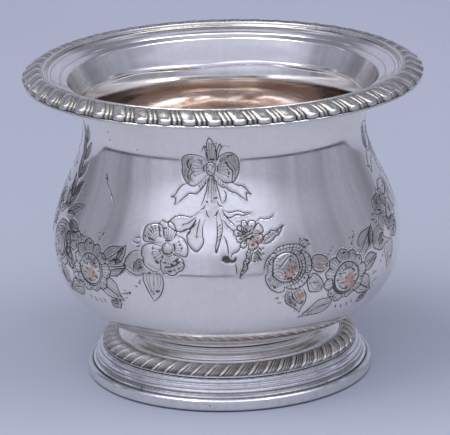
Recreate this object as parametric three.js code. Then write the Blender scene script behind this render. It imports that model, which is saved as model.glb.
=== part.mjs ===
// A waste bowl in silver-plated copper: a bellied bowl with a turned-out rim, on a spun foot,
// with a lobed white-metal border at the rim and a smaller one on the foot, all soft-soldered.
// Millimetres, +Z up. The origin is the middle of the ring that the bowl stands on.

import * as THREE from 'three';

// Bowl body, measured on the outside of its sheet
const overallHeight = 116;       // to the top of the rim border
const neckRadius = 51.6;
const neckDrop = 22;             // from the top of the rim border down to the narrowest place
const bellyBulge = 12.4;         // how far the belly stands out past the neck
const bellyHeight = 52;
const throatFlare = 5.6;         // how far the wall opens from the neck to the bend under the brim
const bodySheet = 0.9;

// Where the bowl sits on its foot
const jointRadius = 36;
const jointHeight = 18.7;
const bottomSag = 3.3;           // how far the middle of the bowl hangs below the joint
const footSheet = 0.9;

// Solder film between two pieces that are joined
const solderGap = 0.2;

// Shapes of the bowl's curves: how far each end of a curve keeps its direction,
// as a share of the curve's width or height
const bottomMiddleShare = 0.8;
const bottomEdgeShare = 0.2;
const underbellyStartShare = 0.29;
const underbellyEndShare = 0.73;
const shoulderStartShare = 0.385;
const shoulderEndShare = 0.333;
const flareStartShare = 0.45;
const flareEndShare = 0.3;

// Directions of those curves where they meet a piece or a bend, in degrees from level
const underbellySlope = 25;
const flareSlope = 68;

// Brim: a plain sloping band, a small step, then the flat seat of the border
const brimWidth = 7.2;           // from the bend to the inner edge of the border
const brimRise = 2.95;
const brimBandShares = [0.68, 0.75];
const brimStepShares = [0.83, 1];
const borderOverlap = 2.9;       // how far the border lies over the brim

// Rim border
const rimLobePitch = 8.3;        // round the middle of the border
const rimLobeDepth = 1.15;
const rimLeanShare = 0.9;        // of one lobe's width, right-handed seen from above
const rimBorderWidth = 8.6;
const rimBorderRise = 1.85;      // above the brim's top
const rimBorderDrop = 3.95;      // below the brim's top
const rimEdgeHeight = 1.1;       // plain edge below the lobes
const rimMiddleShare = 0.5;      // of its width, where the lobes are highest

// Foot: its outline runs from the collar under the bowl out to the wall inside the base wire.
// Each corner is a share of the way out and of the way down to the table.
const footSpread = 16.6;         // from the collar to the outside of the base wire
const coveStartShares = [0.25, 0.5];   // these two bend the cove, as shares of the cove itself
const coveMiddleShares = [0.5, 0.85];
const coveEndShares = [0.347, 0.18];
const seatTopShares = [0.381, 0.218];
const seatEndShares = [0.735, 0.418];
const ledgeShares = [0.803, 0.418];
const beadShares = [0.837, 0.468];
const beadEndShares = [0.803, 0.52];
const stepShares = [0.878, 0.52];
const stepBulgeShares = [0.905, 0.56];
const stepFootShares = [0.878, 0.602];
const hollowShares = [1, 0.704];

// Foot border
const footLobePitch = 4.96;      // round the middle of its seat
const footLobeDepth = 0.8;
const footLeanShare = -1;        // the other way round
const footBorderBulge = 1.9;     // how far its lobes stand off the seat
const footMiddleShare = 0.5;     // of the seat

// Plain wire round the base
const baseWireHeight = 4.5;
const baseWireThickness = 1.7;
const baseWireRound = 0.6;
const footEdgeLift = 1.2;        // the foot's own edge stays this far off the table

// Solder fillets
const rimFilletWidth = 2.1;
const rimFilletDrop = 1.7;
const jointFilletWidth = 1.3;
const jointFilletShare = 0.4;    // of its width, how far it runs down the cove
const baseFilletWidth = 1.1;

// How deep a border is cut across one lobe, from one hollow to the next
const lobeShares = [1, 0.32, 0, 0.32];

// Lobed stretch of each border's section, from its outer edge to its inner edge. For each corner:
// its place across, its place up, how deep the hollows are cut and how far the lobe has leaned
// round, the last two as shares of the whole depth and the whole lean.
const rimSectionShares = [
  [0.86, 0.02, 0.35, 1],
  [1, 0.3, 0.9, 0.95],
  [0.84, 0.7, 1, 0.8],
  [0.42, 0.94, 1, 0.55],
  [0, 1, 0.9, 0.35],
  [-0.5, 0.95, 0.6, 0.15],
];
const footSectionShares = [
  [1, 0.35, 0, 1],
  [0.86, 0.75, 0.8, 0.85],
  [0.55, 1, 1, 0.55],
  [0.24, 0.8, 0.8, 0.25],
  [0.06, 0.42, 0, 0],
];

// How round things are drawn
const roundSteps = 52;
const curveSteps = 7;
const shortCurveSteps = 3;

// Finishes
const plate = new THREE.MeshStandardMaterial({ color: '#d9dade', metalness: 1, roughness: 0.12 });
const whiteMetal = new THREE.MeshStandardMaterial({ color: '#cfcdc2', metalness: 1, roughness: 0.24 });
const softSolder = new THREE.MeshStandardMaterial({ color: '#b4b5b8', metalness: 1, roughness: 0.38 });

const point = (radius, height) => new THREE.Vector2(radius, height);
const move = (from, across, up) => point(from.x + across, from.y + up);

// Direction in the section, in degrees above level, as a unit step
function heading(degrees) {
  const angle = THREE.MathUtils.degToRad(degrees);
  return point(Math.cos(angle), Math.sin(angle));
}

function curve(start, startHandle, endHandle, end, steps) {
  return new THREE.CubicBezierCurve(start, startHandle, endHandle, end).getPoints(steps);
}

// The same line moved sideways to its left by a distance, with its bends kept sharp
function offsetLine(line, distance) {
  const sides = line.slice(1).map((next, i) => {
    const along = next.clone().sub(line[i]).normalize();
    return point(-along.y, along.x);
  });
  return line.map((here, i) => {
    const before = sides[Math.max(i - 1, 0)];
    const after = sides[Math.min(i, sides.length - 1)];
    const middle = before.clone().add(after).normalize();
    return here.clone().addScaledVector(middle, distance / middle.dot(before));
  });
}

// Height of a line at a radius, for lines that run outwards
function heightAt(line, radius) {
  const i = Math.max(1, line.findIndex((corner) => corner.x >= radius));
  const share = (radius - line[i - 1].x) / (line[i].x - line[i - 1].x);
  return THREE.MathUtils.lerp(line[i - 1].y, line[i].y, share);
}

// A solid of revolution about Z. The section goes round anticlockwise, radius to the right.
function turned(name, section, material) {
  const closed = section[0].x === 0 ? section : [...section, section[0].clone()];
  const geometry = new THREE.LatheGeometry(closed, roundSteps);
  geometry.rotateX(Math.PI / 2);
  const mesh = new THREE.Mesh(geometry, material);
  mesh.name = name;
  return mesh;
}

// A ring cut into lobes. Each corner of its section says how deep the hollow between two lobes
// is there, and how far the lobe leans round, as a share of its whole lean. The pitch is that of
// the lobes at the core's radius.
function lobedRing(name, corners, core, pitch, leanShare, material) {
  const lobes = Math.round(2 * Math.PI * core.x / pitch);
  const columns = lobes * lobeShares.length;
  const lobeAngle = 2 * Math.PI / lobes;
  const positions = [];
  for (let column = 0; column < columns; column++) {
    const hollowShare = lobeShares[column % lobeShares.length];
    for (const corner of corners) {
      const inward = core.clone().sub(corner.at).normalize();
      const cut = corner.at.clone().addScaledVector(inward, hollowShare * corner.depth);
      const turn = 2 * Math.PI * column / columns + corner.lean * leanShare * lobeAngle;
      positions.push(cut.x * Math.cos(turn), cut.x * Math.sin(turn), cut.y);
    }
  }
  const faces = [];
  const count = corners.length;
  for (let column = 0; column < columns; column++) {
    const here = column * count;
    const next = ((column + 1) % columns) * count;
    for (let i = 0; i < count; i++) {
      const above = (i + 1) % count;
      faces.push(here + i, next + i, next + above);
      faces.push(here + i, next + above, here + above);
    }
  }
  const geometry = new THREE.BufferGeometry();
  geometry.setAttribute('position', new THREE.Float32BufferAttribute(positions, 3));
  geometry.setIndex(faces);
  geometry.computeVertexNormals();
  const mesh = new THREE.Mesh(geometry, material);
  mesh.name = name;
  return mesh;
}

// A place between two corners, as shares of the way across and of the way up
function between(from, to, shares) {
  const { lerp } = THREE.MathUtils;
  return point(lerp(from.x, to.x, shares[0]), lerp(from.y, to.y, shares[1]));
}

// Bowl body: outside of the sheet from the middle of the bottom to the edge of the brim
const brimTop = overallHeight - rimBorderRise;
const joint = point(jointRadius, jointHeight);
const neck = point(neckRadius, overallHeight - neckDrop);
const belly = point(neckRadius + bellyBulge, bellyHeight);
const throat = point(neckRadius + throatFlare, brimTop - bodySheet - brimRise);
const borderInner = move(throat, brimWidth, brimRise);
const brimEdge = move(borderInner, borderOverlap, 0);
const rimRadius = borderInner.x + rimBorderWidth;

function bottomLine() {
  const middle = move(point(0, jointHeight), 0, -bottomSag);
  return curve(
    middle,
    move(middle, jointRadius * bottomMiddleShare, 0),
    joint.clone().addScaledVector(heading(underbellySlope), -jointRadius * bottomEdgeShare),
    joint,
    shortCurveSteps + 1,
  );
}

function wallLine() {
  const underbelly = curve(
    joint,
    joint.clone().addScaledVector(heading(underbellySlope), (belly.x - joint.x) * underbellyStartShare),
    move(belly, 0, (joint.y - belly.y) * underbellyEndShare),
    belly,
    curveSteps,
  );
  const shoulder = curve(
    belly,
    move(belly, 0, (neck.y - belly.y) * shoulderStartShare),
    move(neck, 0, (belly.y - neck.y) * shoulderEndShare),
    neck,
    curveSteps,
  );
  const flareHeight = throat.y - neck.y;
  const flare = curve(
    neck,
    move(neck, 0, flareHeight * flareStartShare),
    throat.clone().addScaledVector(heading(flareSlope), -flareHeight * flareEndShare),
    throat,
    shortCurveSteps,
  );
  return [...underbelly, ...shoulder.slice(1), ...flare.slice(1)];
}

function bowlBody() {
  const brim = [
    between(throat, borderInner, brimBandShares),
    between(throat, borderInner, brimStepShares),
    brimEdge,
  ];
  const outside = [...bottomLine(), ...wallLine().slice(1), ...brim];
  const inside = offsetLine(outside, bodySheet);
  inside[0].x = 0;
  return turned('bowl_body', [...outside, ...inside.reverse()], plate);
}

// Rim border: it overlaps the brim and hooks over the brim's edge
const rimHook = brimEdge.x + solderGap;
const rimBottom = brimTop - rimBorderDrop;

function rimBorder() {
  const seat = brimTop + solderGap;
  const crestRadius = rimRadius - rimBorderWidth * rimMiddleShare;
  const sideHeight = rimBottom + 2 * rimEdgeHeight;
  const rise = overallHeight - sideHeight;
  const plainEdge = rimRadius - rimLobeDepth;
  const { lerp } = THREE.MathUtils;
  const lobed = rimSectionShares.map(([across, up, depthShare, lean]) => ({
    at: point(lerp(crestRadius, rimRadius, across), sideHeight + rise * up),
    depth: rimLobeDepth * depthShare,
    lean,
  }));
  const plain = (at, lean) => ({ at, depth: 0, lean });
  const corners = [
    plain(point(rimHook, rimBottom + rimEdgeHeight), 0),
    plain(point(plainEdge - rimEdgeHeight, rimBottom), 1),
    plain(point(plainEdge, rimBottom + rimEdgeHeight), 1),
    ...lobed,
    plain(point(borderInner.x, seat + rimEdgeHeight / 2), 0),
    plain(point(borderInner.x, seat), 0),
    plain(point(rimHook, seat), 0),
  ];
  const core = point(crestRadius, rimBottom);
  return lobedRing('rim_border', corners, core, rimLobePitch, rimLeanShare, whiteMetal);
}

// Solder wiped into the corner between the brim's underside and the back of the border
function rimSolder() {
  const top = brimEdge.y - solderGap;
  const outer = rimHook - solderGap;
  const section = [
    point(outer - rimFilletWidth, top),
    point(outer - rimFilletWidth / 2, top - rimFilletDrop / 2),
    point(outer, top - rimFilletDrop),
    point(outer, top),
  ];
  return turned('rim_solder', section, softSolder);
}

// Foot: outside of the sheet from the collar under the bowl down to the edge near the table
const undersideLine = [...bottomLine(), ...wallLine().slice(1, curveSteps)];
const collarTop = (radius) => heightAt(undersideLine, radius) - solderGap;
const collar = point(jointRadius, collarTop(jointRadius));
const baseRadius = jointRadius + footSpread;
const footWall = point(baseRadius - baseWireThickness - solderGap, 0);
const onFoot = (shares) => between(collar, footWall, shares);
const coveEnd = onFoot(coveEndShares);
const seatTop = onFoot(seatTopShares);
const seatEnd = onFoot(seatEndShares);
const coveLine = curve(
  collar,
  between(collar, coveEnd, coveStartShares),
  between(collar, coveEnd, coveMiddleShares),
  coveEnd,
  shortCurveSteps,
);

function footShell() {
  const upper = [...coveLine, seatTop, seatEnd, onFoot(ledgeShares)];
  const lower = [onFoot(stepFootShares), onFoot(hollowShares), point(footWall.x, footEdgeLift)];
  const beadEnd = onFoot(beadEndShares);
  const step = onFoot(stepShares);
  const outside = [...upper, onFoot(beadShares), beadEnd, step, onFoot(stepBulgeShares), ...lower];
  const inside = offsetLine([...upper, beadEnd, step, ...lower], -footSheet);
  inside[0] = point(jointRadius - footSheet, collarTop(jointRadius - footSheet));
  return turned('foot_shell', [...inside, ...outside.reverse()], plate);
}

// Foot border: a leaning lobed quarter-round on the foot's sloping seat
function footBorder() {
  const along = seatEnd.clone().sub(seatTop).normalize();
  const out = point(-along.y, along.x);
  const onSeat = (share, lift) => seatTop.clone().lerp(seatEnd, share).addScaledVector(out, lift);
  const lobed = footSectionShares.map(([across, up, depthShare, lean]) => ({
    at: onSeat(across, solderGap + footBorderBulge * up),
    depth: footLobeDepth * depthShare,
    lean,
  }));
  const corners = [
    { at: onSeat(0, solderGap), depth: 0, lean: 0 },
    { at: onSeat(1, solderGap), depth: 0, lean: 1 },
    ...lobed,
  ];
  const core = onSeat(footMiddleShare, 0);
  return lobedRing('foot_border', corners, core, footLobePitch, footLeanShare, whiteMetal);
}

// Solder wiped into the corner between the bowl's underside and the cove
function jointSolder() {
  const inner = jointRadius + solderGap;
  const outer = inner + jointFilletWidth;
  const middle = inner + jointFilletWidth * jointFilletShare;
  const onCove = (radius) => point(radius, heightAt(coveLine, radius) + solderGap);
  const section = [
    onCove(inner),
    onCove(middle),
    point(outer, collarTop(outer) - solderGap),
    point(outer, collarTop(outer)),
    point(inner, collarTop(inner)),
  ];
  return turned('joint_solder', section, softSolder);
}

// Wire round the base, which the bowl stands on
function baseWire() {
  const inner = baseRadius - baseWireThickness;
  const section = [
    point(inner, 0),
    point(baseRadius, 0),
    point(baseRadius, baseWireHeight - baseWireRound),
    point(baseRadius - baseWireRound / 4, baseWireHeight - baseWireRound / 4),
    point(baseRadius - baseWireRound, baseWireHeight),
    point(inner, baseWireHeight),
  ];
  return turned('base_wire', section, plate);
}

// Solder under the foot's edge, inside the wire
function baseSolder() {
  const outer = footWall.x;
  const top = footEdgeLift - solderGap;
  const section = [
    point(outer - baseFilletWidth, top),
    point(outer, solderGap),
    point(outer, top),
  ];
  return turned('base_solder', section, softSolder);
}

const wasteBowl = new THREE.Group();
wasteBowl.add(bowlBody(), rimBorder(), rimSolder());
wasteBowl.add(footShell(), footBorder(), jointSolder());
wasteBowl.add(baseWire(), baseSolder());

export default wasteBowl;
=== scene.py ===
# The looks of a waste bowl in silver-plated copper: its engraved wall, its two lobed borders,
# its spun foot and its solder seams, on a pale floor in a light tent.
# Shapes are worked out in millimetres and become metres when their mesh is made.

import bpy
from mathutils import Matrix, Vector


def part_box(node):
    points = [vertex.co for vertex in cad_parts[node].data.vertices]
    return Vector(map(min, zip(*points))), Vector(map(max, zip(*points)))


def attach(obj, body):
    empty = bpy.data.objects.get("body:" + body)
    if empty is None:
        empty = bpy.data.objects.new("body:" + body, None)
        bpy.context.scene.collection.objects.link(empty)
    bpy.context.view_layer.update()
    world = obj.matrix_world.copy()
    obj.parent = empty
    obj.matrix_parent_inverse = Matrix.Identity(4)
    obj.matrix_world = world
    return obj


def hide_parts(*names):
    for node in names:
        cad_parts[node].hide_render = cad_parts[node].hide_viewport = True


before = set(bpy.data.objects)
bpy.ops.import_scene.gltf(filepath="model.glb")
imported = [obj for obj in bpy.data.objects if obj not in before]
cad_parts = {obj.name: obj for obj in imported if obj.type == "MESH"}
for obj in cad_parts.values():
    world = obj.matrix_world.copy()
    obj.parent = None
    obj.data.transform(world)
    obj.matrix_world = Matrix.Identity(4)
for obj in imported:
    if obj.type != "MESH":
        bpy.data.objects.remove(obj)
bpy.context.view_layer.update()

import math
import random

import bpy
import numpy as np
from mathutils import Vector
from mathutils.geometry import delaunay_2d_cdt
from mathutils.kdtree import KDTree

MM = 0.001


def corner_of(node, high=True):
    """The highest or lowest corner of a solid of the frame, in millimetres."""
    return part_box(node)[1 if high else 0] / MM


# Heights and widths that the frame gives
OVERALL_HEIGHT = corner_of("rim_border").z
RIM_BOTTOM = corner_of("rim_border", high=False).z
BRIM_TOP = corner_of("bowl_body").z
BRIM_EDGE = corner_of("bowl_body").x
BASE_RADIUS = corner_of("base_wire").x
BASE_WIRE_HEIGHT = corner_of("base_wire").z
BASE_WIRE_WIDTH = 1.7
FOOT_EDGE = corner_of("foot_shell", high=False).z
COLLAR_TOP = corner_of("foot_shell").z

# Bowl body, measured on the outside of its sheet
NECK_RADIUS = 51.6
NECK_DROP = 22
BELLY_BULGE = 12.4
BELLY_HEIGHT = 52
THROAT_FLARE = 5.6
BODY_SHEET = 0.9
BRIM_WIDTH = 7.2
BRIM_RISE = 2.95
JOINT_RADIUS = 36
BOTTOM_SAG = 3.3
SOLDER_GAP = 0.2

# How far each end of a curve keeps its direction, as a share of the curve's width or height
BOTTOM_MIDDLE_SHARE = 0.8
BOTTOM_EDGE_SHARE = 0.2
UNDERBELLY_START_SHARE = 0.29
UNDERBELLY_END_SHARE = 0.73
SHOULDER_START_SHARE = 0.385
SHOULDER_END_SHARE = 0.333
FLARE_START_SHARE = 0.45
FLARE_END_SHARE = 0.3
UNDERBELLY_SLOPE = 25
FLARE_SLOPE = 68

# How round the bowl and the foot are drawn
ROUND_STEPS = 192
ARC_STEPS = 3
GROOVE_EDGE = 0.14            # how far beyond a corner's rounding its dirt and painted shade fade out
ROUNDING_SHARE = 1 / 2.1      # how much of a line's length the rounding at one end may take
TINY = 1e-6                   # keeps divisions from zero


def heading(degrees):
    """A unit step in the section, in degrees above level."""
    angle = math.radians(degrees)
    return np.array([math.cos(angle), math.sin(angle)])


def bezier(start, start_handle, end_handle, end, steps):
    """Points of one curve with two handles."""
    t = np.linspace(0, 1, steps + 1)[:, None]
    ends = (1 - t) ** 3 * start + t**3 * end
    return ends + 3 * (1 - t) ** 2 * t * start_handle + 3 * (1 - t) * t**2 * end_handle


def ease(share):
    """A share from 0 to 1 that starts and ends gently."""
    return share**2 * (3 - 2 * share)


def rise(share, start, width):
    """Grows from 0 to 1 over a width, from where a share passes a start."""
    return np.clip((share - start) / width, 0, 1)


def right_of(way):
    """The unit step to the right of a unit step."""
    return np.array([way[1], -way[0]])


def outward(line):
    """Unit normals to the right of a line."""
    step = np.gradient(line, axis=0)
    normal = np.stack([step[:, 1], -step[:, 0]], 1)
    return normal / np.linalg.norm(normal, axis=1)[:, None]


class Wall:
    """Outside of the bowl's wall from the joint with the foot up to the throat."""

    def __init__(self):
        self.joint = np.array([JOINT_RADIUS, COLLAR_TOP + SOLDER_GAP])
        self.belly = np.array([NECK_RADIUS + BELLY_BULGE, BELLY_HEIGHT])
        self.neck = np.array([NECK_RADIUS, OVERALL_HEIGHT - NECK_DROP])
        self.throat = np.array([NECK_RADIUS + THROAT_FLARE, BRIM_TOP - BODY_SHEET - BRIM_RISE])
        up = np.array([0, 1])
        rise = self.belly[1] - self.joint[1]
        spread = self.belly[0] - self.joint[0]
        start = heading(UNDERBELLY_SLOPE) * spread * UNDERBELLY_START_SHARE
        steps = 120
        underbelly = bezier(self.joint, self.joint + start,
                            self.belly - up * rise * UNDERBELLY_END_SHARE, self.belly, steps)
        rise = self.neck[1] - self.belly[1]
        shoulder = bezier(self.belly, self.belly + up * rise * SHOULDER_START_SHARE,
                          self.neck - up * rise * SHOULDER_END_SHARE, self.neck, steps)
        rise = self.throat[1] - self.neck[1]
        flare = bezier(self.neck, self.neck + up * rise * FLARE_START_SHARE,
                       self.throat - heading(FLARE_SLOPE) * rise * FLARE_END_SHARE, self.throat, steps)
        self.line = np.vstack([underbelly, shoulder[1:], flare[1:]])
        self.along = np.append(0, np.cumsum(np.linalg.norm(np.diff(self.line, axis=0), axis=1)))
        normals = outward(self.line)
        self.tilt = np.arctan2(normals[:, 1], normals[:, 0])

    def along_at(self, height):
        """Length along the wall at a height."""
        return np.interp(height, self.line[:, 1], self.along)

    def point(self, along):
        """Radius and height at a length along the wall."""
        radius = np.interp(along, self.along, self.line[:, 0])
        return np.stack([radius, np.interp(along, self.along, self.line[:, 1])], -1)

    def normal(self, along):
        """Outward normal in the section at a length along the wall."""
        tilt = np.interp(along, self.along, self.tilt)
        return np.stack([np.cos(tilt), np.sin(tilt)], -1)


def rounded_line(corners):
    """The points, right-hand normals and dark mark of a line: dirt with painted shade in its corners.

    Its corners are (radius, height, rounding, dirt and painted shade). The metal is clean again just
    beside a darkened corner, unless the corner next to it is darkened too."""
    places = np.array([corner[:2] for corner in corners], float)
    shades_and_dirts = [corner[3] if len(corner) > 3 else 0 for corner in corners]
    steps = np.diff(places, axis=0)
    lengths = np.linalg.norm(steps, axis=1)
    ways = steps / lengths[:, None]
    points, normals, shade_and_dirt = [], [], []

    def add(point, normal, darkened):
        points.append(point)
        normals.append(normal)
        shade_and_dirt.append(darkened)

    add(places[0], right_of(ways[0]), shades_and_dirts[0])
    for i in range(1, len(corners) - 1):
        before, after = ways[i - 1], ways[i]
        turn = math.atan2(before[0] * after[1] - before[1] * after[0], before @ after)
        rounding = corners[i][2]
        bend = max(abs(math.tan(turn / 2)), TINY)
        reach = min(rounding * bend, *lengths[i - 1:i + 1] * ROUNDING_SHARE)
        radius = reach / bend
        side = right_of(before)
        middle = places[i] - before * reach - side * radius * math.copysign(1, turn)
        if not (shades_and_dirts[i] and shades_and_dirts[i - 1]):
            add(places[i] - before * min(reach + GROOVE_EDGE, lengths[i - 1] / 2), side, 0)
        for share in np.linspace(0, 1, ARC_STEPS + 1):
            angle = math.atan2(side[1], side[0]) + turn * share
            normal = np.array([math.cos(angle), math.sin(angle)])
            add(middle + normal * radius * math.copysign(1, turn), normal, shades_and_dirts[i])
        if not (shades_and_dirts[i] and shades_and_dirts[i + 1]):
            add(places[i] + after * min(reach + GROOVE_EDGE, lengths[i] / 2), right_of(after), 0)
    add(places[-1], right_of(ways[-1]), shades_and_dirts[-1])
    return np.array(points), np.array(normals), np.array(shade_and_dirt)


def ring_angles(start=0.0):
    """Angles of the points of one ring, whose first point stands at a start in degrees."""
    return math.radians(start) + np.arange(ROUND_STEPS) * 2 * math.pi / ROUND_STEPS


def turned(line, angles):
    """Rows of points round the axis: one row for each point of a line in the section."""
    across = np.stack([np.sin(angles), -np.cos(angles)], 1)
    flat = line[:, None, 0, None] * across[None]
    up = np.repeat(line[:, None, 1, None], len(angles), 1)
    return np.concatenate([flat, up], 2)


class Skin:
    """Collects the points, normals, marks and faces of one piece."""

    def __init__(self, marks=()):
        self.points, self.normals, self.faces = [], [], []
        self.marks = {mark: [] for mark in marks}
        self.count = 0

    def add(self, points, normals, **marks):
        """Adds points and returns their numbers."""
        points = np.asarray(points).reshape(-1, 3)
        self.points.append(points)
        self.normals.append(np.asarray(normals).reshape(-1, 3))
        for name, values in self.marks.items():
            values.append(np.broadcast_to(marks.get(name, 0.0), len(points)))
        numbers = np.arange(self.count, self.count + len(points))
        self.count += len(points)
        return numbers

    def add_rings(self, line, normals, start=0.0, **marks):
        """Adds one ring of points for each point of a section line."""
        angles = ring_angles(start)
        spread = {name: np.repeat(np.broadcast_to(value, len(line)), ROUND_STEPS)
                  for name, value in marks.items()}
        numbers = self.add(turned(line, angles), turned(normals, angles), **spread)
        return list(numbers.reshape(len(line), ROUND_STEPS))

    def bridge(self, rings):
        """Joins each ring of points to the next with faces."""
        for lower, upper in zip(rings, rings[1:]):
            right, above = np.roll(lower, -1), np.roll(upper, -1)
            self.faces.extend(np.stack([lower, right, above, upper], 1).tolist())

    def cap(self, ring, pole, upwards):
        """Closes a ring of points to the point on the axis."""
        pairs = np.stack([ring, np.roll(ring, -1)], 1)
        pairs = pairs if upwards else pairs[:, ::-1]
        self.faces.extend([[a, b, int(pole[0])] for a, b in pairs.tolist()])

    def make(self, name, material, slot, *nodes):
        """Makes the piece, in metres, in place of the frame's solids."""
        mesh = bpy.data.meshes.new(name)
        points = np.concatenate(self.points) * MM
        mesh.from_pydata(points.tolist(), [], self.faces)
        for mark, values in self.marks.items():
            layer = mesh.attributes.new(mark, "FLOAT", "POINT")
            layer.data.foreach_set("value", np.concatenate(values).astype(np.float32))
        mesh.shade_smooth()
        normals = np.concatenate(self.normals)
        normals = normals / np.linalg.norm(normals, axis=1)[:, None]
        mesh.normals_split_custom_set_from_vertices(normals.tolist())
        mesh.materials.append(material)
        piece = bpy.data.objects.new(name, mesh)
        bpy.context.scene.collection.objects.link(piece)
        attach(piece, "root")
        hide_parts(*nodes)
        return piece


def mesh_normals(points, triangles):
    """Vertex normals of a triangle mesh, each face weighted by its area."""
    corners = points[triangles]
    faces = np.cross(corners[:, 1] - corners[:, 0], corners[:, 2] - corners[:, 0])
    normals = np.zeros_like(points)
    for k in range(3):
        np.add.at(normals, triangles[:, k], faces)
    return normals / np.maximum(np.linalg.norm(normals, axis=1), TINY**2)[:, None]


# The engraving: four alike festoons, each from one bow to the next
FESTOONS = 4
FESTOON_ANGLE = 360 / FESTOONS
BOW_ANGLE = -5.6              # the front bow sits a little to the left
QUARTER_START = -29           # where each quarter of the wall starts, in degrees from its bow
WALL_START = BOW_ANGLE + QUARTER_START
ORNAMENT_BOTTOM = 35.5        # heights between which the wall is engraved
ORNAMENT_TOP = 104.5
PLAN_RADIUS = 60              # the flattened wall is as wide as it is at this radius
OVERLAP = 2                   # how far beyond a quarter strokes still count for it
LINE_WIDTH = 0.70
FINE_WIDTH = 0.44
LINE_DEPTH = 0.26
FINE_INK = 1.00               # how dark the patina in a fine stroke is
LEAF_TONE = 0.42              # how dull the metal inside a leaf is
FAINT_TONE = 0.3              # and inside a fainter one
PETAL_TONE = 0.22             # and inside a petal of the big flower
ROSE_TONE = 0.12              # or of the cupped rose
TAPER = 0.45                  # how much a stroke thins towards its ends
SAMPLE_STEP = 0.15            # along a stroke, for measuring the distance to it
POINT_STEP = 0.5              # along a stroke, for the mesh
POINT_GAP = 0.15              # least distance between points of the strokes
PLAIN_STEP = 2.1              # between points of the plain wall
NEAR_STEP = 1.05              # and near the engraving
NEAR_REACH = 3                # how far from a stroke that is
ROW_SHARE = 0.87              # how close the rows of points are, as a share of their step
BESIDE_DEPTH = 0.022          # how far the metal sinks beside a stroke
BESIDE_WIDTH = 0.85
EDGE_STEP = 0.5               # up the line where two festoons meet
GRIME_REACH = 1.3             # how far a stroke dulls the metal beside it
GRIME_SPREAD = 75             # how much engraving it takes for the metal between to dull
FAINTEST_CUT = 0.02           # a point this near the edge of a stroke isn't sunk
DARK_SHARE = 1.6              # how soon a stroke darkens from its edge to its middle
WEAR_START = 1.25             # how far a worn place reaches, as a share of its radius
SWELL_POWER = 0.8             # how full the raised places are
LEAF_BELLY = 0.45             # where a leaf is widest, as a share of its length
LEAF_RIB = 0.8                # how far its rib runs
SCALLOP_STEPS = 12            # along the edge of a petal
STIPPLES = 22                 # short strokes under the small blossom
DISC_PITS = 18                # pits in the disc of the big flower
DISC_RADIUS = 4.6             # how far from its middle they reach

bowl_wall = Wall()


def smooth(points, closed=False):
    """A smooth line through a few points, in steps of about SAMPLE_STEP."""
    points = np.array(points, float)
    if len(points) == 2 and not closed:
        count = max(3, int(np.linalg.norm(points[1] - points[0]) / SAMPLE_STEP))
        return points[0] + (points[1] - points[0]) * np.linspace(0, 1, count)[:, None]
    if closed:
        points = np.vstack([points[-1], points, points[:2]])
    else:
        points = np.vstack([2 * points[0] - points[1], points, 2 * points[-1] - points[-2]])
    line = []
    for a, b, c, d in zip(points, points[1:], points[2:], points[3:]):
        count = max(2, int(np.linalg.norm(c - b) / SAMPLE_STEP))
        t = np.arange(count)[:, None] / count
        bend = (2 * a - 5 * b + 4 * c - d) * t**2 + (3 * b - a - 3 * c + d) * t**3
        line.append(b + 0.5 * ((c - a) * t + bend))
    if not closed:
        line.append(points[-2][None])
    return np.vstack(line)


def polar(radius, degrees):
    """A place at a distance and a direction, anticlockwise from the right."""
    return radius * heading(degrees)


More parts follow.
